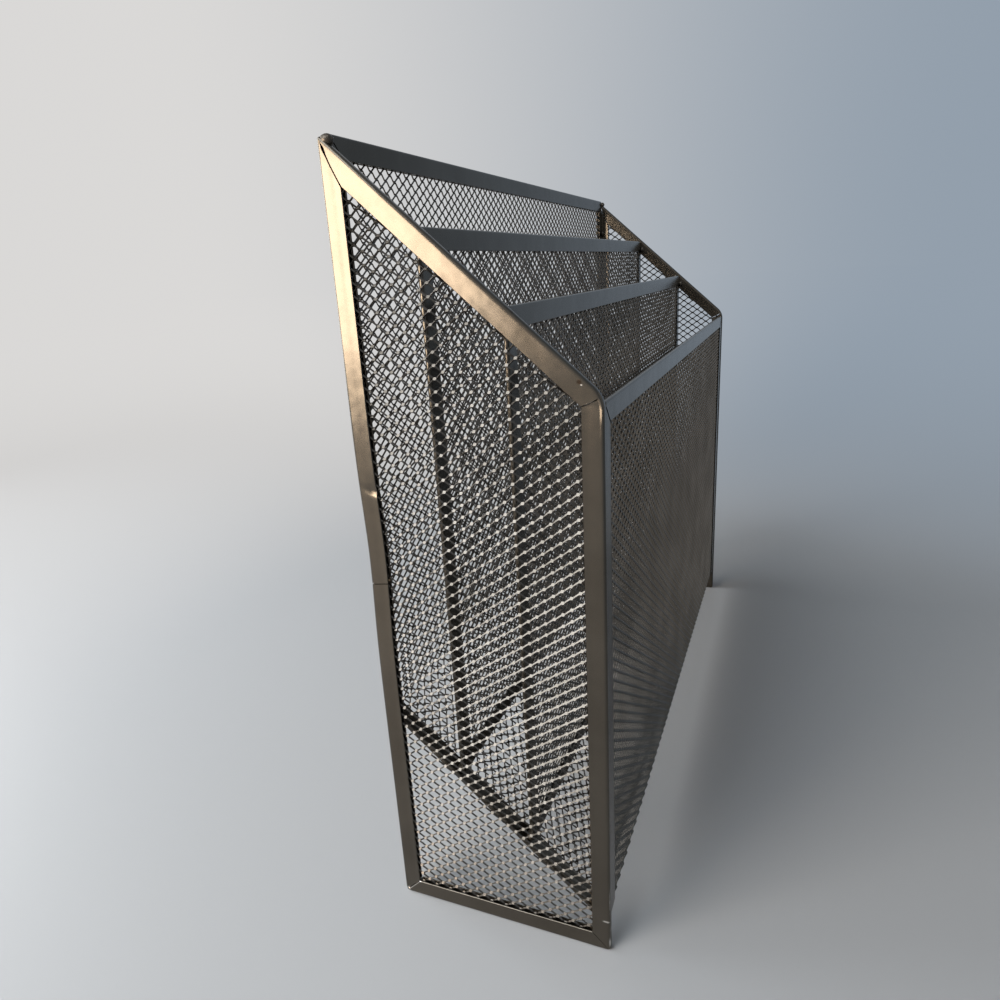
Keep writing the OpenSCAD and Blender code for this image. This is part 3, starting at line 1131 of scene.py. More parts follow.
def run_nodes(name: str, source: bpy.types.Mesh, tree: bpy.types.NodeTree,
              values: dict[str, Any]) -> bpy.types.Object:
    """Runs a geometry node tree once and keeps its result as a plain mesh.

    Args:
        name: Name of the piece.
        source: Mesh that the tree starts from.
        tree: The tree.
        values: Values of its inputs by name.

    Returns:
        The new object, linked into the scene, with no modifier.
    """
    made = bpy.data.objects.new(name, source)
    bpy.context.scene.collection.objects.link(made)
    modifier = made.modifiers.new("nodes", "NODES")
    modifier.node_group = tree
    for item in tree.interface.items_tree:
        if item.item_type == "SOCKET" and item.in_out == "INPUT" and item.name in values:
            modifier[item.identifier] = values[item.name]
    made.update_tag()
    bpy.context.view_layer.update()
    graph = bpy.context.evaluated_depsgraph_get()
    mesh = bpy.data.meshes.new_from_object(made.evaluated_get(graph), preserve_all_data_layers=True, depsgraph=graph)
    made.modifiers.remove(modifier)
    made.data = mesh
    mesh.name = name
    bpy.data.meshes.remove(source)
    return made


@dataclass
class ExpandedMesh:
    """Expanded metal: rows of ribbon that zigzag and meet at leaning bonds, made by geometry nodes.

    Attributes:
        long_way: Distance between bonds along a row.
        short_way: Distance between bonds across the rows.
        strand: Width of a ribbon.
        gauge: Thickness of a ribbon.
        bond: Length over which two ribbons are one.
        lean: Angle of the bonds to the sheet.
        uneven: How far the pattern strays.
        tree: The node tree, built for the first panel.
    """

    long_way: float = 6.0
    short_way: float = 4.07
    strand: float = 0.54
    gauge: float = 0.50
    bond: float = 1.0
    lean: float = math.radians(40)
    uneven: float = 0.1
    tree: bpy.types.NodeTree | None = field(default=None, init=False)

    INPUTS = {
        "Track": "NodeSocketObject", "Across": "NodeSocketVector", "Corner": "NodeSocketVector",
        "Columns": "NodeSocketInt", "Rows": "NodeSocketInt", "Long Way": "NodeSocketFloat",
        "Short Way": "NodeSocketFloat", "Strand": "NodeSocketFloat", "Gauge": "NodeSocketFloat",
        "Bond": "NodeSocketFloat", "Lean": "NodeSocketFloat", "Uneven": "NodeSocketFloat",
        "Seed": "NodeSocketFloat", "Finish": "NodeSocketMaterial",
    }

    def build_tree(self) -> bpy.types.NodeTree:
        """Builds the node tree.

        Returns:
            The tree, which takes a panel's flat outline and gives the mesh in its place.
        """
        tree = bpy.data.node_groups.new("expanded_metal", "GeometryNodeTree")
        tree.interface.new_socket("Outline", in_out="INPUT", socket_type="NodeSocketGeometry")
        for key, kind in self.INPUTS.items():
            tree.interface.new_socket(key, in_out="INPUT", socket_type=kind)
        tree.interface.new_socket("Mesh", in_out="OUTPUT", socket_type="NodeSocketGeometry")
        graph = Graph(tree)
        given = graph.add("NodeGroupInput").outputs
        rows = self._rows(graph, given, self._ribbon(graph, given))
        inside = self._inside(graph, given, rows)
        laid = self._laid(graph, given, self._thick(graph, given, inside))
        facets = graph.add("GeometryNodeSetShadeSmooth", {"Geometry": laid, "Shade Smooth": False}).outputs[0]
        real = graph.add("GeometryNodeRealizeInstances", {"Geometry": facets}).outputs[0]
        done = graph.add("GeometryNodeSetMaterial", {"Geometry": real, "Material": given["Finish"]}).outputs[0]
        tree.links.new(done, graph.add("NodeGroupOutput").inputs["Mesh"])
        return tree

    @staticmethod
    def _ribbon(graph: Graph, given: Any) -> bpy.types.NodeSocket:
        """Adds the nodes of one row: four points for each bond, low, low, high, high.

        Args:
            graph: The tree's helper.
            given: Inputs of the tree.

        Returns:
            The row's curve.
        """
        line = graph.add("GeometryNodeCurvePrimitiveLine", {"End": (1.0, 0.0, 0.0)}).outputs[0]
        count = graph.math("MULTIPLY", given["Columns"], 4.0)
        curve = graph.add("GeometryNodeResampleCurve", {"Curve": line, "Count": count}).outputs[0]
        index = graph.add("GeometryNodeInputIndex").outputs[0]
        column = graph.math("FLOOR", graph.math("DIVIDE", index, 4.0))
        phase = graph.math("MODULO", index, 4.0)
        high = graph.math("FLOOR", graph.math("DIVIDE", phase, 2.0))
        end = graph.math("SUBTRACT", graph.math("MODULO", phase, 2.0), 0.5)
        step = graph.math("ADD", column, graph.math("MULTIPLY", high, 0.5))
        x = graph.math("ADD", graph.math("MULTIPLY", step, given["Long Way"]),
                       graph.math("MULTIPLY", end, given["Bond"]))
        way = graph.math("SUBTRACT", 1.0, graph.math("MULTIPLY", high, 2.0))
        reach = graph.math("MULTIPLY", graph.math("MULTIPLY", given["Strand"], 0.48), way)
        rise = graph.math("MULTIPLY", high, graph.math("MULTIPLY", given["Short Way"], 0.5))
        y = graph.math("ADD", rise, graph.math("MULTIPLY", reach, graph.math("COSINE", given["Lean"])))
        z = graph.math("MULTIPLY", graph.math("MULTIPLY", reach, graph.math("SINE", given["Lean"])), -1.0)
        feeds = {"Geometry": curve, "Position": graph.joined(x, y, z)}
        return graph.add("GeometryNodeSetPosition", feeds).outputs[0]

    @staticmethod
    def _rows(graph: Graph, given: Any, ribbon: bpy.types.NodeSocket) -> bpy.types.NodeSocket:
        """Adds the nodes that repeat the row, every other one moved by half a diamond.

        Args:
            graph: The tree's helper.
            given: Inputs of the tree.
            ribbon: Curve of one row.

        Returns:
            All rows, slightly uneven.
        """
        half = graph.math("MULTIPLY", given["Short Way"], 0.5)
        line = graph.add("GeometryNodeMeshLine", {
            "Count": given["Rows"], "Start Location": given["Corner"], "Offset": graph.joined(0.0, half, 0.0)})
        odd = graph.math("MODULO", graph.add("GeometryNodeInputIndex").outputs[0], 2.0)
        shift = graph.math("MULTIPLY", odd, graph.math("MULTIPLY", given["Long Way"], 0.5))
        points = graph.add("GeometryNodeSetPosition", {
            "Geometry": line.outputs[0], "Offset": graph.joined(shift, 0.0, 0.0)}).outputs[0]
        rows = graph.add("GeometryNodeInstanceOnPoints", {"Points": points, "Instance": ribbon}).outputs[0]
        real = graph.add("GeometryNodeRealizeInstances", {"Geometry": rows}).outputs[0]
        place = graph.add("GeometryNodeInputPosition").outputs[0]
        stray = graph.grain(place, 30.0, 1.0, given["Seed"]).outputs["Color"]
        stray = graph.vector("MULTIPLY", graph.vector("SUBTRACT", stray, (0.5, 0.5, 0.5)), (1.6, 1.0, 0.0))
        feeds = {"Geometry": real, "Offset": graph.scaled(stray, graph.math("MULTIPLY", given["Uneven"], 2.0))}
        return graph.add("GeometryNodeSetPosition", feeds).outputs[0]

    @staticmethod
    def _inside(graph: Graph, given: Any, rows: bpy.types.NodeSocket) -> bpy.types.NodeSocket:
        """Adds the nodes that keep what lies over the outline.

        Args:
            graph: The tree's helper.
            given: Inputs of the tree.
            rows: All rows.

        Returns:
            The rows inside the outline.
        """
        place = graph.add("GeometryNodeInputPosition").outputs[0]
        above = graph.vector("ADD", place, (0.0, 0.0, 0.5))
        hit = graph.add("GeometryNodeRaycast", {
            "Target Geometry": given["Outline"], "Source Position": above,
            "Ray Direction": (0.0, 0.0, -1.0), "Ray Length": 1.0}).outputs["Is Hit"]
        missed = graph.add("FunctionNodeBooleanMath", {0: hit}, operation="NOT").outputs[0]
        feeds = {"Geometry": rows, "Selection": missed}
        return graph.add("GeometryNodeDeleteGeometry", feeds, domain="POINT").outputs[0]

    @staticmethod
    def _thick(graph: Graph, given: Any, rows: bpy.types.NodeSocket) -> bpy.types.NodeSocket:
        """Adds the nodes that give the rows their leaning rectangular section.

        Args:
            graph: The tree's helper.
            given: Inputs of the tree.
            rows: Curves of the rows.

        Returns:
            The ribbons' mesh.
        """
        face = graph.joined(0.0, graph.math("SINE", given["Lean"]), graph.math("COSINE", given["Lean"]))
        turned = graph.add("GeometryNodeSetCurveNormal", {"Curve": rows}, mode="FREE")
        graph.tree.links.new(face, turned.inputs["Normal"])
        section = graph.add("GeometryNodeCurvePrimitiveQuadrilateral", {
            "Width": given["Gauge"], "Height": given["Strand"]}).outputs[0]
        return graph.add("GeometryNodeCurveToMesh", {
            "Curve": turned.outputs[0], "Profile Curve": section, "Fill Caps": True}).outputs[0]

    @staticmethod
    def _laid(graph: Graph, given: Any, flat: bpy.types.NodeSocket) -> bpy.types.NodeSocket:
        """Adds the nodes that carry the flat mesh along its track.

        Args:
            graph: The tree's helper.
            given: Inputs of the tree.
            flat: The flat mesh.

        Returns:
            The mesh in its place.
        """
        track = graph.add("GeometryNodeObjectInfo", {"Object": given["Track"]}).outputs["Geometry"]
        place = graph.add("ShaderNodeSeparateXYZ", {0: graph.add("GeometryNodeInputPosition").outputs[0]}).outputs
        sample = graph.add("GeometryNodeSampleCurve", {"Curves": track}, mode="LENGTH", use_all_curves=True)
        graph.tree.links.new(place[1], sample.inputs["Length"])
        normal = graph.vector("CROSS_PRODUCT", given["Across"], sample.outputs["Tangent"])
        across = graph.vector("ADD", sample.outputs["Position"], graph.scaled(given["Across"], place[0]))
        final = graph.vector("ADD", across, graph.scaled(normal, place[2]))
        return graph.add("GeometryNodeSetPosition", {"Geometry": flat, "Position": final}).outputs[0]

    def panel(self, name: str, corners: Sequence[Vector], track: Track, finish: bpy.types.Material,
              seed: float, start: Vector | None = None) -> bpy.types.Object:
        """Makes the mesh of one panel.

        Args:
            name: Name of the piece.
            corners: Flat outline that it fills.
            track: Carries it to its place.
            finish: Its material.
            seed: Picks the unevenness.
            start: A bond of the pattern, where panels share one sheet.

        Returns:
            The new object.
        """
        if self.tree is None:
            self.tree = self.build_tree()
        low = Vector((min(c.x for c in corners), min(c.y for c in corners)))
        high = Vector((max(c.x for c in corners), max(c.y for c in corners)))
        start = start or low
        first = Vector((math.floor((low.x - start.x) / self.long_way) - 1,
                        2 * math.floor((low.y - start.y) / self.short_way) - 2))
        corner = start + Vector((first.x * self.long_way, first.y * self.short_way / 2))
        source = bpy.data.meshes.new(name + ".outline")
        source.from_pydata([(c.x * MM, c.y * MM, 0.0) for c in corners], [], [tuple(range(len(corners)))])
        guide = track.curve_object(name + ".track")
        made = run_nodes(name, source, self.tree, {
            "Track": guide, "Across": track.across, "Corner": (corner.x * MM, corner.y * MM, 0.0),
            "Columns": math.ceil((high.x - corner.x) / self.long_way) + 1,
            "Rows": math.ceil((high.y - corner.y) / self.short_way * 2) + 2,
            "Long Way": self.long_way * MM, "Short Way": self.short_way * MM, "Strand": self.strand * MM,
            "Gauge": self.gauge * MM, "Bond": self.bond * MM, "Lean": self.lean, "Uneven": self.uneven * MM,
            "Seed": seed, "Finish": finish})
        bpy.data.objects.remove(guide)
        return made


@dataclass
class WeldBeads:
    """Weld beads as lumps of metal, set on points by geometry nodes.

    Attributes:
        sizes: Sizes of the organizer.
        lump: How far a bead's skin is uneven.
        tree: The node tree, built for the first piece.
    """

    sizes: Sizes
    lump: float = 0.55
    tree: bpy.types.NodeTree | None = field(default=None, init=False)

    def build_tree(self) -> bpy.types.NodeTree:
        """Builds the node tree.

        Returns:
            The tree, which takes points with an axis and gives the beads.
        """
        tree = bpy.data.node_groups.new("weld_beads", "GeometryNodeTree")
        tree.interface.new_socket("Points", in_out="INPUT", socket_type="NodeSocketGeometry")
        for key, kind in (("Radius", "NodeSocketFloat"), ("Length", "NodeSocketFloat"),
                          ("Lump", "NodeSocketFloat"), ("Finish", "NodeSocketMaterial")):
            tree.interface.new_socket(key, in_out="INPUT", socket_type=kind)
        tree.interface.new_socket("Mesh", in_out="OUTPUT", socket_type="NodeSocketGeometry")
        graph = Graph(tree)
        given = graph.add("NodeGroupInput").outputs
        ball = graph.add("GeometryNodeMeshIcoSphere", {"Radius": 1.0, "Subdivisions": 3}).outputs[0]
        axis = graph.add("GeometryNodeInputNamedAttribute", {"Name": "axis"}, data_type="FLOAT_VECTOR").outputs[0]
        turn = graph.add("FunctionNodeAlignRotationToVector", {"Vector": axis}, axis="Z").outputs[0]
        size = graph.joined(given["Radius"], given["Radius"], graph.math("MULTIPLY", given["Length"], 0.5))
        vary = graph.add("FunctionNodeRandomValue", {"Seed": 7}, data_type="FLOAT")
        for key, value in (("Min", 0.82), ("Max", 1.0)):
            next(s for s in vary.inputs if s.name == key and not s.is_unavailable).default_value = value
        share = next(s for s in vary.outputs if not s.is_unavailable)
        beads = graph.add("GeometryNodeInstanceOnPoints", {
            "Points": given["Points"], "Instance": ball, "Rotation": turn,
            "Scale": graph.scaled(size, share)}).outputs[0]
        real = graph.add("GeometryNodeRealizeInstances", {"Geometry": beads}).outputs[0]
        place = graph.add("GeometryNodeInputPosition").outputs[0]
        skin = graph.math("SUBTRACT", graph.grain(place, 620.0, 2.0, 2.6).outputs[0], 0.8)
        normal = graph.add("GeometryNodeInputNormal").outputs[0]
        offset = graph.scaled(normal, graph.math("MULTIPLY", skin, given["Lump"]))
        lumpy = graph.add("GeometryNodeSetPosition", {"Geometry": real, "Offset": offset}).outputs[0]
        smooth = graph.add("GeometryNodeSetShadeSmooth", {"Geometry": lumpy}).outputs[0]
        whole = graph.add("GeometryNodeRealizeInstances", {"Geometry": smooth}).outputs[0]
        done = graph.add("GeometryNodeSetMaterial", {"Geometry": whole, "Material": given["Finish"]}).outputs[0]
        tree.links.new(done, graph.add("NodeGroupOutput").inputs["Mesh"])
        return tree

    def upright(self, y: float, face: int, z: float) -> list[tuple[Vector, Vector]]:
        """Lists the two beads in the grooves between a cross panel's face and the side panels.

        Args:
            y: Middle plane of the cross panel.
            face: -1 for its front face, 1 for its back face.
            z: Height of the beads' middle.

        Returns:
            Place and axis of each bead.
        """
        s = self.sizes
        return [(Vector((end * s.inner_x, y + face * s.strip_t / 2, z)), Vector((0, 0, 1))) for end in (-1, 1)]

    def foot(self, y: float) -> list[tuple[Vector, Vector]]:
        """Lists the two beads that hold a divider's foot to the end strips.

        Args:
            y: Middle plane of the divider.

        Returns:
            Place and axis of each bead.
        """
        s = self.sizes
        face = y + s.strip_t / 2
        seat = s.floor_at(face) + s.strip_t / 2 / math.cos(s.slope)
        return [(Vector((end * (s.inner_x - s.strip_w / 2), face, seat)), Vector((1, 0, 0))) for end in (-1, 1)]

    def panel(self, y: float, face: int, top: float) -> list[tuple[Vector, Vector]]:
        """Lists the beads of the front or the back panel.

        Args:
            y: Middle plane of the panel.
            face: Face that looks into the pockets.
            top: Height from which the beads are counted down.

        Returns:
            Place and axis of each bead.
        """
        s = self.sizes
        heights = (top - s.strip_w, top - s.strip_w - s.bead_step)
        return [bead for z in heights for bead in self.upright(y, face, z)]

    def tips(self) -> list[tuple[Vector, Vector]]:
        """Lists the two beads that join the side panels' tips to the back's top strip.

        Returns:
            Place and axis of each bead.
        """
        s = self.sizes
        x, y, z = s.inner_x + s.fold_r, s.back_y - s.bead_len / 5, s.back_top - 1.05 * s.bead_r
        return [(Vector((end * x, y, z)), Vector((0, 1, 0))) for end in (-1, 1)]

    def divider(self, y: float) -> list[tuple[Vector, Vector]]:
        """Lists the beads of a divider.

        Args:
            y: Middle plane of the divider.

        Returns:
            Place and axis of each bead.
        """
        s = self.sizes
        found = self.foot(y)
        for face in (-1, 1):
            z = s.slope_at(y + face * (s.strip_t + s.bead_r) / 2) - s.strip_w / 2 / math.cos(s.slope)
            found += self.upright(y, face, z)
        return found

    def piece(self, name: str, beads: Sequence[tuple[Vector, Vector]],
              finish: bpy.types.Material) -> bpy.types.Object:
        """Makes one piece of beads.

        Args:
            name: Name of the piece.
            beads: Place and axis of each bead.
            finish: Its material.

        Returns:
            The new object.
        """
        if self.tree is None:
            self.tree = self.build_tree()
        source = bpy.data.meshes.new(name + ".points")
        source.from_pydata([tuple(place * MM) for place, _ in beads], [], [])
        axes = source.attributes.new("axis", "FLOAT_VECTOR", "POINT")
        for item, (_, axis) in zip(axes.data, beads):
            item.vector = axis
        return run_nodes(name, source, self.tree, {
            "Radius": self.sizes.bead_r * MM, "Length": self.sizes.bead_len * MM,
            "Lump": self.lump * MM, "Finish": finish})


@dataclass
class Organizer:
    """The whole organizer: side panels, folded sheet, dividers and welds.

    Attributes:
        sizes: Sizes of the organizer.
        finishes: Material of each slot.
        mesh: Maker of the expanded metal.
        foot_r: Radius to which a side panel's bottom corners are hammered.
        tip_r: Radius to which its top back corner is hammered.
        sheet_r: Radius of the folded sheet's front and back corners.
        sheet_t: Thickness to which the strip on the sheet is pressed.
        divider_t: Thickness to which the strip on the dividers is pressed.
        sheet_fold: Radius of the fold of the strip on the sheet.
        divider_fold: Radius of the fold of the strip on the dividers.
        thin_gauge: Gauge of the strip on the sheet and the dividers.
        thin_sway: How far that strip's flanges are pressed in unevenly.
        rim: How far inside a panel's outline its mesh ends.
    """

    sizes: Sizes
    finishes: dict[Slot, bpy.types.Material]
    mesh: ExpandedMesh = field(default_factory=ExpandedMesh)
    foot_r: float = 1.5
    tip_r: float = 0.9
    sheet_r: tuple[float, float] = (2.6, 1.0)
    sheet_t: float = 2.2
    divider_t: float = 1.8
    sheet_fold: float = 0.8
    divider_fold: float = 0.75
    thin_gauge: float = 0.5
    thin_sway: float = 0.08
    rim: float = 2.0

    BACK_RUN = 1

    def keep(self, made: bpy.types.Object, node: str, slot: Slot) -> None:
        """Hands one piece over to the frame.

        Args:
            made: The piece.
            node: Solid that it stands for.
            slot: Its material slot.
        """
        if not made.data.materials:
            made.data.materials.append(self.finishes[slot])
        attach(made, "root")
        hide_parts(node)
        count = sum(len(p.vertices) - 2 for p in made.data.polygons)
        LOG.info("%s: %d triangles", made.name, count)

    def side(self, side: Side) -> None:
        """Builds one side panel.

        Args:
            side: Which of the two.
        """
        s = self.sizes
        way = side.value
        name = side.name.lower()
        track = upright_track(Vector((way * s.side_x, 0, 0)), Vector((0, way, 0)))
        half = s.depth / 2
        corners = [(-half, 0), (half, 0), (half, s.back_top), (-half, s.front_h)]
        radii = [self.foot_r, self.foot_r, self.tip_r, s.top_front_r]
        seams, tucked = (0.2, 0.25, 0.5, 0.4), (0, 1, 0, 1)
        hollows, bows = (0.0, 0.0, 0.6, 0.0), (0.0, 0.0, 0.3, -0.25)
        butt, grooves = (self.BACK_RUN, s.butt_z, 0.70), (0.04, 0.12, 0.02, 0.04)
        dents: list[Dent] = []
        bends: list[Dent] = []
        if side is Side.LEFT:
            corners = [(-x, z) for x, z in reversed(corners)]
            radii = radii[::-1]
            seams, hollows = seams[::-1], hollows[::-1]
            bows = tuple(-b for b in bows[::-1])
            tucked = tuple(-t for t in tucked[::-1])
            butt, grooves = (self.BACK_RUN, s.back_top - s.butt_z, -0.70), (0.02, 0.12, 0.04, 0.04)
            dents = [Dent(self.BACK_RUN, at=s.back_top - 173.3, reach=2.4, depth=0.5, skew=0.2)]
            bends = [Dent(self.BACK_RUN, at=s.back_top - 147.0, reach=24.0, depth=1.0)]
        outline = Outline(corners, radii)
        binding = StripFrame(s, outline, track, seed=1.0 if way < 0 else 2.0, seams=seams, hollows=hollows,
                             bows=bows, tucked=tucked, butt=butt, dents=dents, bends=bends, grooves=grooves)
        self.keep(binding.build(name + "_side_binding", range(4), True), name + "_side_frame", Slot.STRIP)
        panel = self.mesh.panel(name + "_side_expanded", outline.polygon(self.rim), track,
                                self.finishes[Slot.MESH], 10.0 + way)
        self.keep(panel, name + "_side_mesh", Slot.MESH)

    def sheet(self) -> None:
        """Builds the folded sheet and the strips that bind it."""
        s = self.sizes
        track = SheetTrack(s)
        x, rim = s.inner_x, self.rim
        start = Vector((0.0, track.front_end - 0.2))
        half = self.mesh.short_way / 2
        bands = {"front": (rim, start.y)}
        rows = math.ceil((track.back_start - start.y) / half)
        bands["floor"] = (start.y, start.y + rows * half)
        bands["back"] = (start.y + rows * half, track.length - rim)
        for name, (low, high) in bands.items():
            corners = [Vector(c) for c in ((rim - x, low), (x - rim, low), (x - rim, high), (rim - x, high))]
            panel = self.mesh.panel(name + "_expanded", corners, track, self.finishes[Slot.MESH], 21.0, start)
            self.keep(panel, name + "_mesh", Slot.MESH)
        outline = Outline([(-x, 0), (x, 0), (x, track.length), (-x, track.length)],
                          [r for r in self.sheet_r for _ in range(2)])
        pressed = replace(s, strip_t=self.sheet_t, fold_r=self.sheet_fold, gauge=self.thin_gauge)
        binding = StripFrame(pressed, outline, track, seed=3.0, dense=track.folds, seams=(0.7, 0.7, 0.5, 0.5),
                             sway=self.thin_sway)
        for index, node in enumerate(("front_top_strip", "right_end_strip", "back_top_strip", "left_end_strip")):
            self.keep(binding.build(node.replace("strip", "binding"), [index], False), node, Slot.STRIP)

    def divider(self, name: str, y: float, seed: float) -> None:
        """Builds one divider.

        Args:
            name: First part of its names.
            y: Its middle plane.
            seed: Picks its unevenness.
        """
        s = self.sizes
        track = upright_track(Vector((0, y, 0)), Vector((1, 0, 0)))
        x, low, high = s.inner_x, s.divider_foot(y), s.divider_top(y)
        outline = Outline([(-x, low), (x, low), (x, high), (-x, high)], [s.panel_r] * 4)
        pressed = replace(s, strip_t=self.divider_t, fold_r=self.divider_fold, gauge=self.thin_gauge)
        binding = StripFrame(pressed, outline, track, seed=seed, sway=self.thin_sway)
        self.keep(binding.build(name + "_binding", range(4), True), name + "_frame", Slot.STRIP)
        panel = self.mesh.panel(name + "_expanded", outline.polygon(self.rim), track,
                                self.finishes[Slot.MESH], seed)
        self.keep(panel, name + "_mesh", Slot.MESH)

    def welds(self, dividers: dict[str, float]) -> None:
        """Builds the weld beads.

        Args:
            dividers: Middle plane of each divider by name.
        """
        s = self.sizes
        beads = WeldBeads(s)
        groups = {"front": beads.panel(-s.back_y, 1, s.front_top),
                  "back": beads.panel(s.back_y, -1, s.back_h - 2 * s.strip_w) + beads.tips()}
        for name, y in dividers.items():
            groups[name] = beads.divider(y)
        for name, places in groups.items():
            made = beads.piece(name + "_beads", places, self.finishes[Slot.WELD])
            self.keep(made, name + "_welds", Slot.WELD)

    def build(self) -> None:
        """Builds every piece."""
        s = self.sizes
        dividers = {"front_divider": (s.front_divider_at - 0.5) * s.depth,
                    "rear_divider": (s.rear_divider_at - 0.5) * s.depth}
        for side in Side:
            self.side(side)
        self.sheet()
        for seed, (name, y) in enumerate(dividers.items()):
            self.divider(name, y, 5.0 + seed)
        self.welds(dividers)


@dataclass(frozen=True)
class Lamp:
    """A soft rectangular lamp that looks at the object.

    Attributes:
        name: Name of the lamp.
        place: Where it stands, in metres.
        aim: What it looks at, in metres.
        size: Its width and height in metres.
        power: Its power in watts.
        colour: Its colour.
    """

    name: str
    place: Place
    aim: Place
    size: tuple[float, float]
    power: float
    colour: Colour

    def build(self) -> bpy.types.Object:
        """Makes the lamp.

        Returns:
            The new object.
        """
        data = bpy.data.lights.new(self.name, "AREA")
        data.shape = "RECTANGLE"
        data.size, data.size_y = self.size
        data.energy = self.power
        data.color = self.colour
        made = bpy.data.objects.new(self.name, data)
        made.location = self.place
        made.rotation_euler = (Vector(self.aim) - Vector(self.place)).to_track_quat("-Z", "Y").to_euler()
        bpy.context.scene.collection.objects.link(made)
        return made


@dataclass(frozen=True)
class Studio:
    """Pale floor, soft light and the camera of the photograph.

    Attributes:
        eye: Place of the camera in millimetres.
        right: Its right-hand direction.
        up: Its upward direction.
        lens: Focal length in millimetres on a 36 mm sensor.
        floor: Colour of the floor.
        floor_reach: Half the floor's width in metres.
        floor_rough: Roughness of the floor.
        floor_gloss: Specular level of the floor.
        wall_light: Colour of the backdrop on the window's side.
        wall_dim: Colour of the backdrop on the other side.
        dim_side: Direction of that side.
        dim_span: Cosines to that direction between which the backdrop goes from light to dim.
        fade: Distances between which the floor goes over into the backdrop, in metres.
        air: Colour of the light from all around.
        level: Strength of that light.
        lamps: The soft lamps.
    """

    SENSOR = 36.0

    eye: Place = (-362.25, -92.94, 240.18)
    right: Place = (0.37330, -0.92601, -0.05609)
    up: Place = (0.30095, 0.06369, 0.95151)
    lens: float = 25.912
    floor: Colour = (0.36, 0.372, 0.388)
    floor_reach: float = 12.0
    floor_rough: float = 0.5
    floor_gloss: float = 0.25
    wall_light: Colour = (0.70, 0.69, 0.68)
    wall_dim: Colour = (0.29, 0.345, 0.41)
    dim_side: Place = (0.374, -0.927, 0.0)
    dim_span: tuple[float, float] = (-0.4, 0.55)
    fade: tuple[float, float] = (0.28, 5.0)
    air: Colour = (0.84, 0.92, 1.0)
    level: float = 0.12
    lamps: tuple[Lamp, ...] = (
        Lamp("window", (-1.315, 0.883, 0.35), (-0.165, 0.0, 0.35), (0.70, 0.66), 25.0, (1.0, 0.83, 0.66)),
        Lamp("side_window", (-0.21, 1.00, 0.50), (-0.165, 0.0, 0.50), (0.75, 0.84), 14.0, (0.95, 0.98, 1.0)),
        Lamp("skylight", (-1.10, 0.60, 1.38), (-0.165, -0.03, 0.17), (1.05, 1.20), 26.0, (0.93, 0.97, 1.0)),
        Lamp("room", (0.5, -1.5, 0.75), (0.0, -0.04, 0.12), (1.0, 0.8), 1.4, (1.0, 0.88, 0.72)),
    )

    def camera(self) -> None:
        """Places the camera."""
        data = bpy.data.cameras.new("photo")
        data.sensor_width = self.SENSOR
        data.lens = self.lens
        data.clip_start = 0.01
        made = bpy.data.objects.new("photo", data)
        right, up = Vector(self.right).normalized(), Vector(self.up).normalized()
        back = right.cross(up)
        turn = Matrix((right, up, back)).transposed().to_4x4()
        made.matrix_world = Matrix.Translation(Vector(self.eye) * MM) @ turn
        bpy.context.scene.collection.objects.link(made)
        bpy.context.scene.camera = made

    def ground(self) -> None:
        """Makes the floor."""
        bm = bmesh.new()
        bmesh.ops.create_grid(bm, x_segments=1, y_segments=1, size=self.floor_reach)
        made = new_piece("floor", bm)
        paint = bpy.data.materials.new("floor")
        paint.use_nodes = True
        graph = Graph(paint.node_tree)
        shader = next(n for n in paint.node_tree.nodes if n.type == "BSDF_PRINCIPLED")
        place = graph.add("ShaderNodeTexCoord").outputs["Object"]
        tone = graph.grain(place, 3.0, 3.0, 1.5).outputs[0]
        lighter = tuple(min(1.0, 1.03 * c) for c in self.floor)
        paint.node_tree.links.new(graph.blend(tone, self.floor, lighter), shader.inputs["Base Color"])
        shader.inputs["Roughness"].default_value = self.floor_rough
        shader.inputs["Specular IOR Level"].default_value = self.floor_gloss
        far = graph.add("ShaderNodeEmission", {"Color": self.wall(graph, place), "Strength": 1.0})
        near = graph.math("DIVIDE", 1.0, graph.vector("LENGTH", place))
        gone = graph.ramp(near, 1.0 / self.fade[0], 1.0 / self.fade[1])
        mix = graph.add("ShaderNodeMixShader", {
            0: graph.math("MULTIPLY", gone, self.seen(graph)), 1: shader.outputs[0], 2: far.outputs[0]})
        output = next(n for n in paint.node_tree.nodes if n.type == "OUTPUT_MATERIAL")
        paint.node_tree.links.new(mix.outputs[0], output.inputs["Surface"])
        made.data.materials.append(paint)

    def wall(self, graph: Graph, way: bpy.types.NodeSocket) -> bpy.types.NodeSocket:
        """Adds the backdrop's colour.

        Args:
            graph: Helper of the tree.
            way: Direction from the object.

        Returns:
            The colour's socket.
        """
        turn = graph.vector("DOT_PRODUCT", graph.vector("NORMALIZE", way), self.dim_side)
        return graph.blend(graph.ramp(turn, *self.dim_span), self.wall_light, self.wall_dim)

    @staticmethod
    def seen(graph: Graph) -> bpy.types.NodeSocket:
        """Adds a number that is 1 where the backdrop is looked at, reflected or looked through to.

        Args:
            graph: Helper of the tree.

        Returns:
            The number's socket.
        """
        path = graph.add("ShaderNodeLightPath").outputs
        return graph.math("MAXIMUM", path["Is Camera Ray"],
                          graph.math("MAXIMUM", path["Is Glossy Ray"], path["Is Transmission Ray"]))

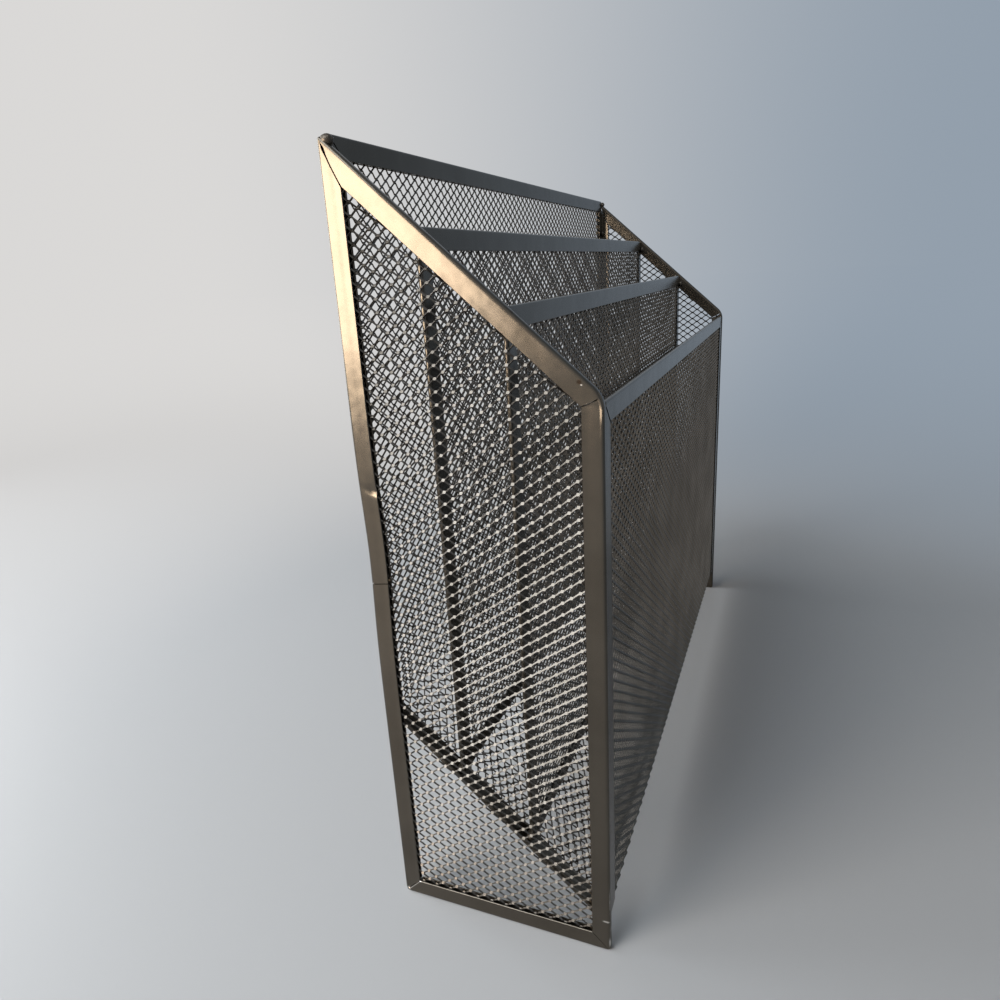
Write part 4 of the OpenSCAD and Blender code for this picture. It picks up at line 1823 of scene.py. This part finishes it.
    def sky(self) -> None:
        """Sets the light from all around, and the backdrop's colour where it is seen."""
        world = bpy.data.worlds.new("studio")
        bpy.context.scene.world = world
        world.use_nodes = True
        tree = world.node_tree
        tree.nodes.clear()
        graph = Graph(tree)
        light = graph.add("ShaderNodeBackground", {"Color": (*self.air, 1.0), "Strength": self.level})
        way = graph.add("ShaderNodeTexCoord").outputs["Generated"]
        wall = graph.add("ShaderNodeBackground", {"Color": self.wall(graph, way), "Strength": 1.0})
        mix = graph.add("ShaderNodeMixShader", {0: self.seen(graph), 1: light.outputs[0], 2: wall.outputs[0]})
        tree.links.new(mix.outputs[0], graph.add("ShaderNodeOutputWorld").inputs["Surface"])

    def build(self) -> None:
        """Sets up camera, floor, light and view."""
        self.camera()
        self.ground()
        self.sky()
        for lamp in self.lamps:
            lamp.build()
        bpy.context.scene.view_settings.view_transform = "Standard"


# Spots in the colour of the metal: knocked-off paint, and painted glints on a weld burr and on bright edges.
CHIPS_AND_GLINTS = (
    Spot((-165.0, -41.3, 13.5), (1.2, 1.6, 0.5)),
    Spot((-164.8, -42.7, 23.0), (0.5, 0.3, 7.0)),
    Spot((-164.8, -42.6, 4.0), (0.6, 0.4, 3.0)),
    Spot((-163.5, -42.7, 9.5), (0.6, 0.8, 1.3)),
    Spot((-165.0, 41.6, 1.4), (1.4, 1.4, 1.0)),
    Spot((-164.3, 41.6, 138.3), (0.7, 0.5, 0.6)),
    Spot((-165.0, -36.3, 208.2), (0.8, 0.4, 0.3)),
)
# Darker spots at the welds; the one beside the weld flash near the top front corner is a painted shadow.
WELD_MARKS_AND_SHADE = (
    Spot((-164.0, -16.8, 229.8), (3.0, 1.7, 1.4)),
    Spot((-165.0, -35.6, 209.0), (1.0, 1.1, 0.9)),
    Spot((-163.5, 32.6, 273.6), (2.0, 1.3, 1.1)),
    Spot((164.0, -13.0, 229.5), (3.0, 2.0, 1.6)),
    Spot((164.0, 13.7, 253.5), (3.0, 2.0, 1.6)),
)
FINISHES = (
    Finish("bronze_strip", Slot.STRIP, (0.079, 0.069, 0.056), (0.094, 0.083, 0.068), seed=1.0, chips_and_glints=CHIPS_AND_GLINTS,
           weld_marks_and_shade=WELD_MARKS_AND_SHADE),
    Finish("bronze_mesh", Slot.MESH, (0.088, 0.078, 0.066), (0.122, 0.110, 0.096), rough_low=0.20,
           rough_high=0.27, wear_and_sheen=0.0, dust=0.05, seed=2.0),
    Finish("bronze_weld", Slot.WELD, (0.060, 0.051, 0.042), (0.11, 0.095, 0.078), rough_low=0.30,
           rough_high=0.45, mottle_scale=300.0, wave=0.1, peel=0.1, wear_and_sheen=0.0, seed=3.0),
)


def main() -> None:
    """Builds the organizer and the studio."""
    logging.basicConfig(level=logging.INFO, format="%(name)s: %(message)s")
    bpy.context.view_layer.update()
    effects = Effects()
    finishes = {finish.slot: finish.material(effects) for finish in FINISHES}
    Organizer(Sizes(), finishes).build()
    Studio().build()


if __name__ == "__main__":
    main()
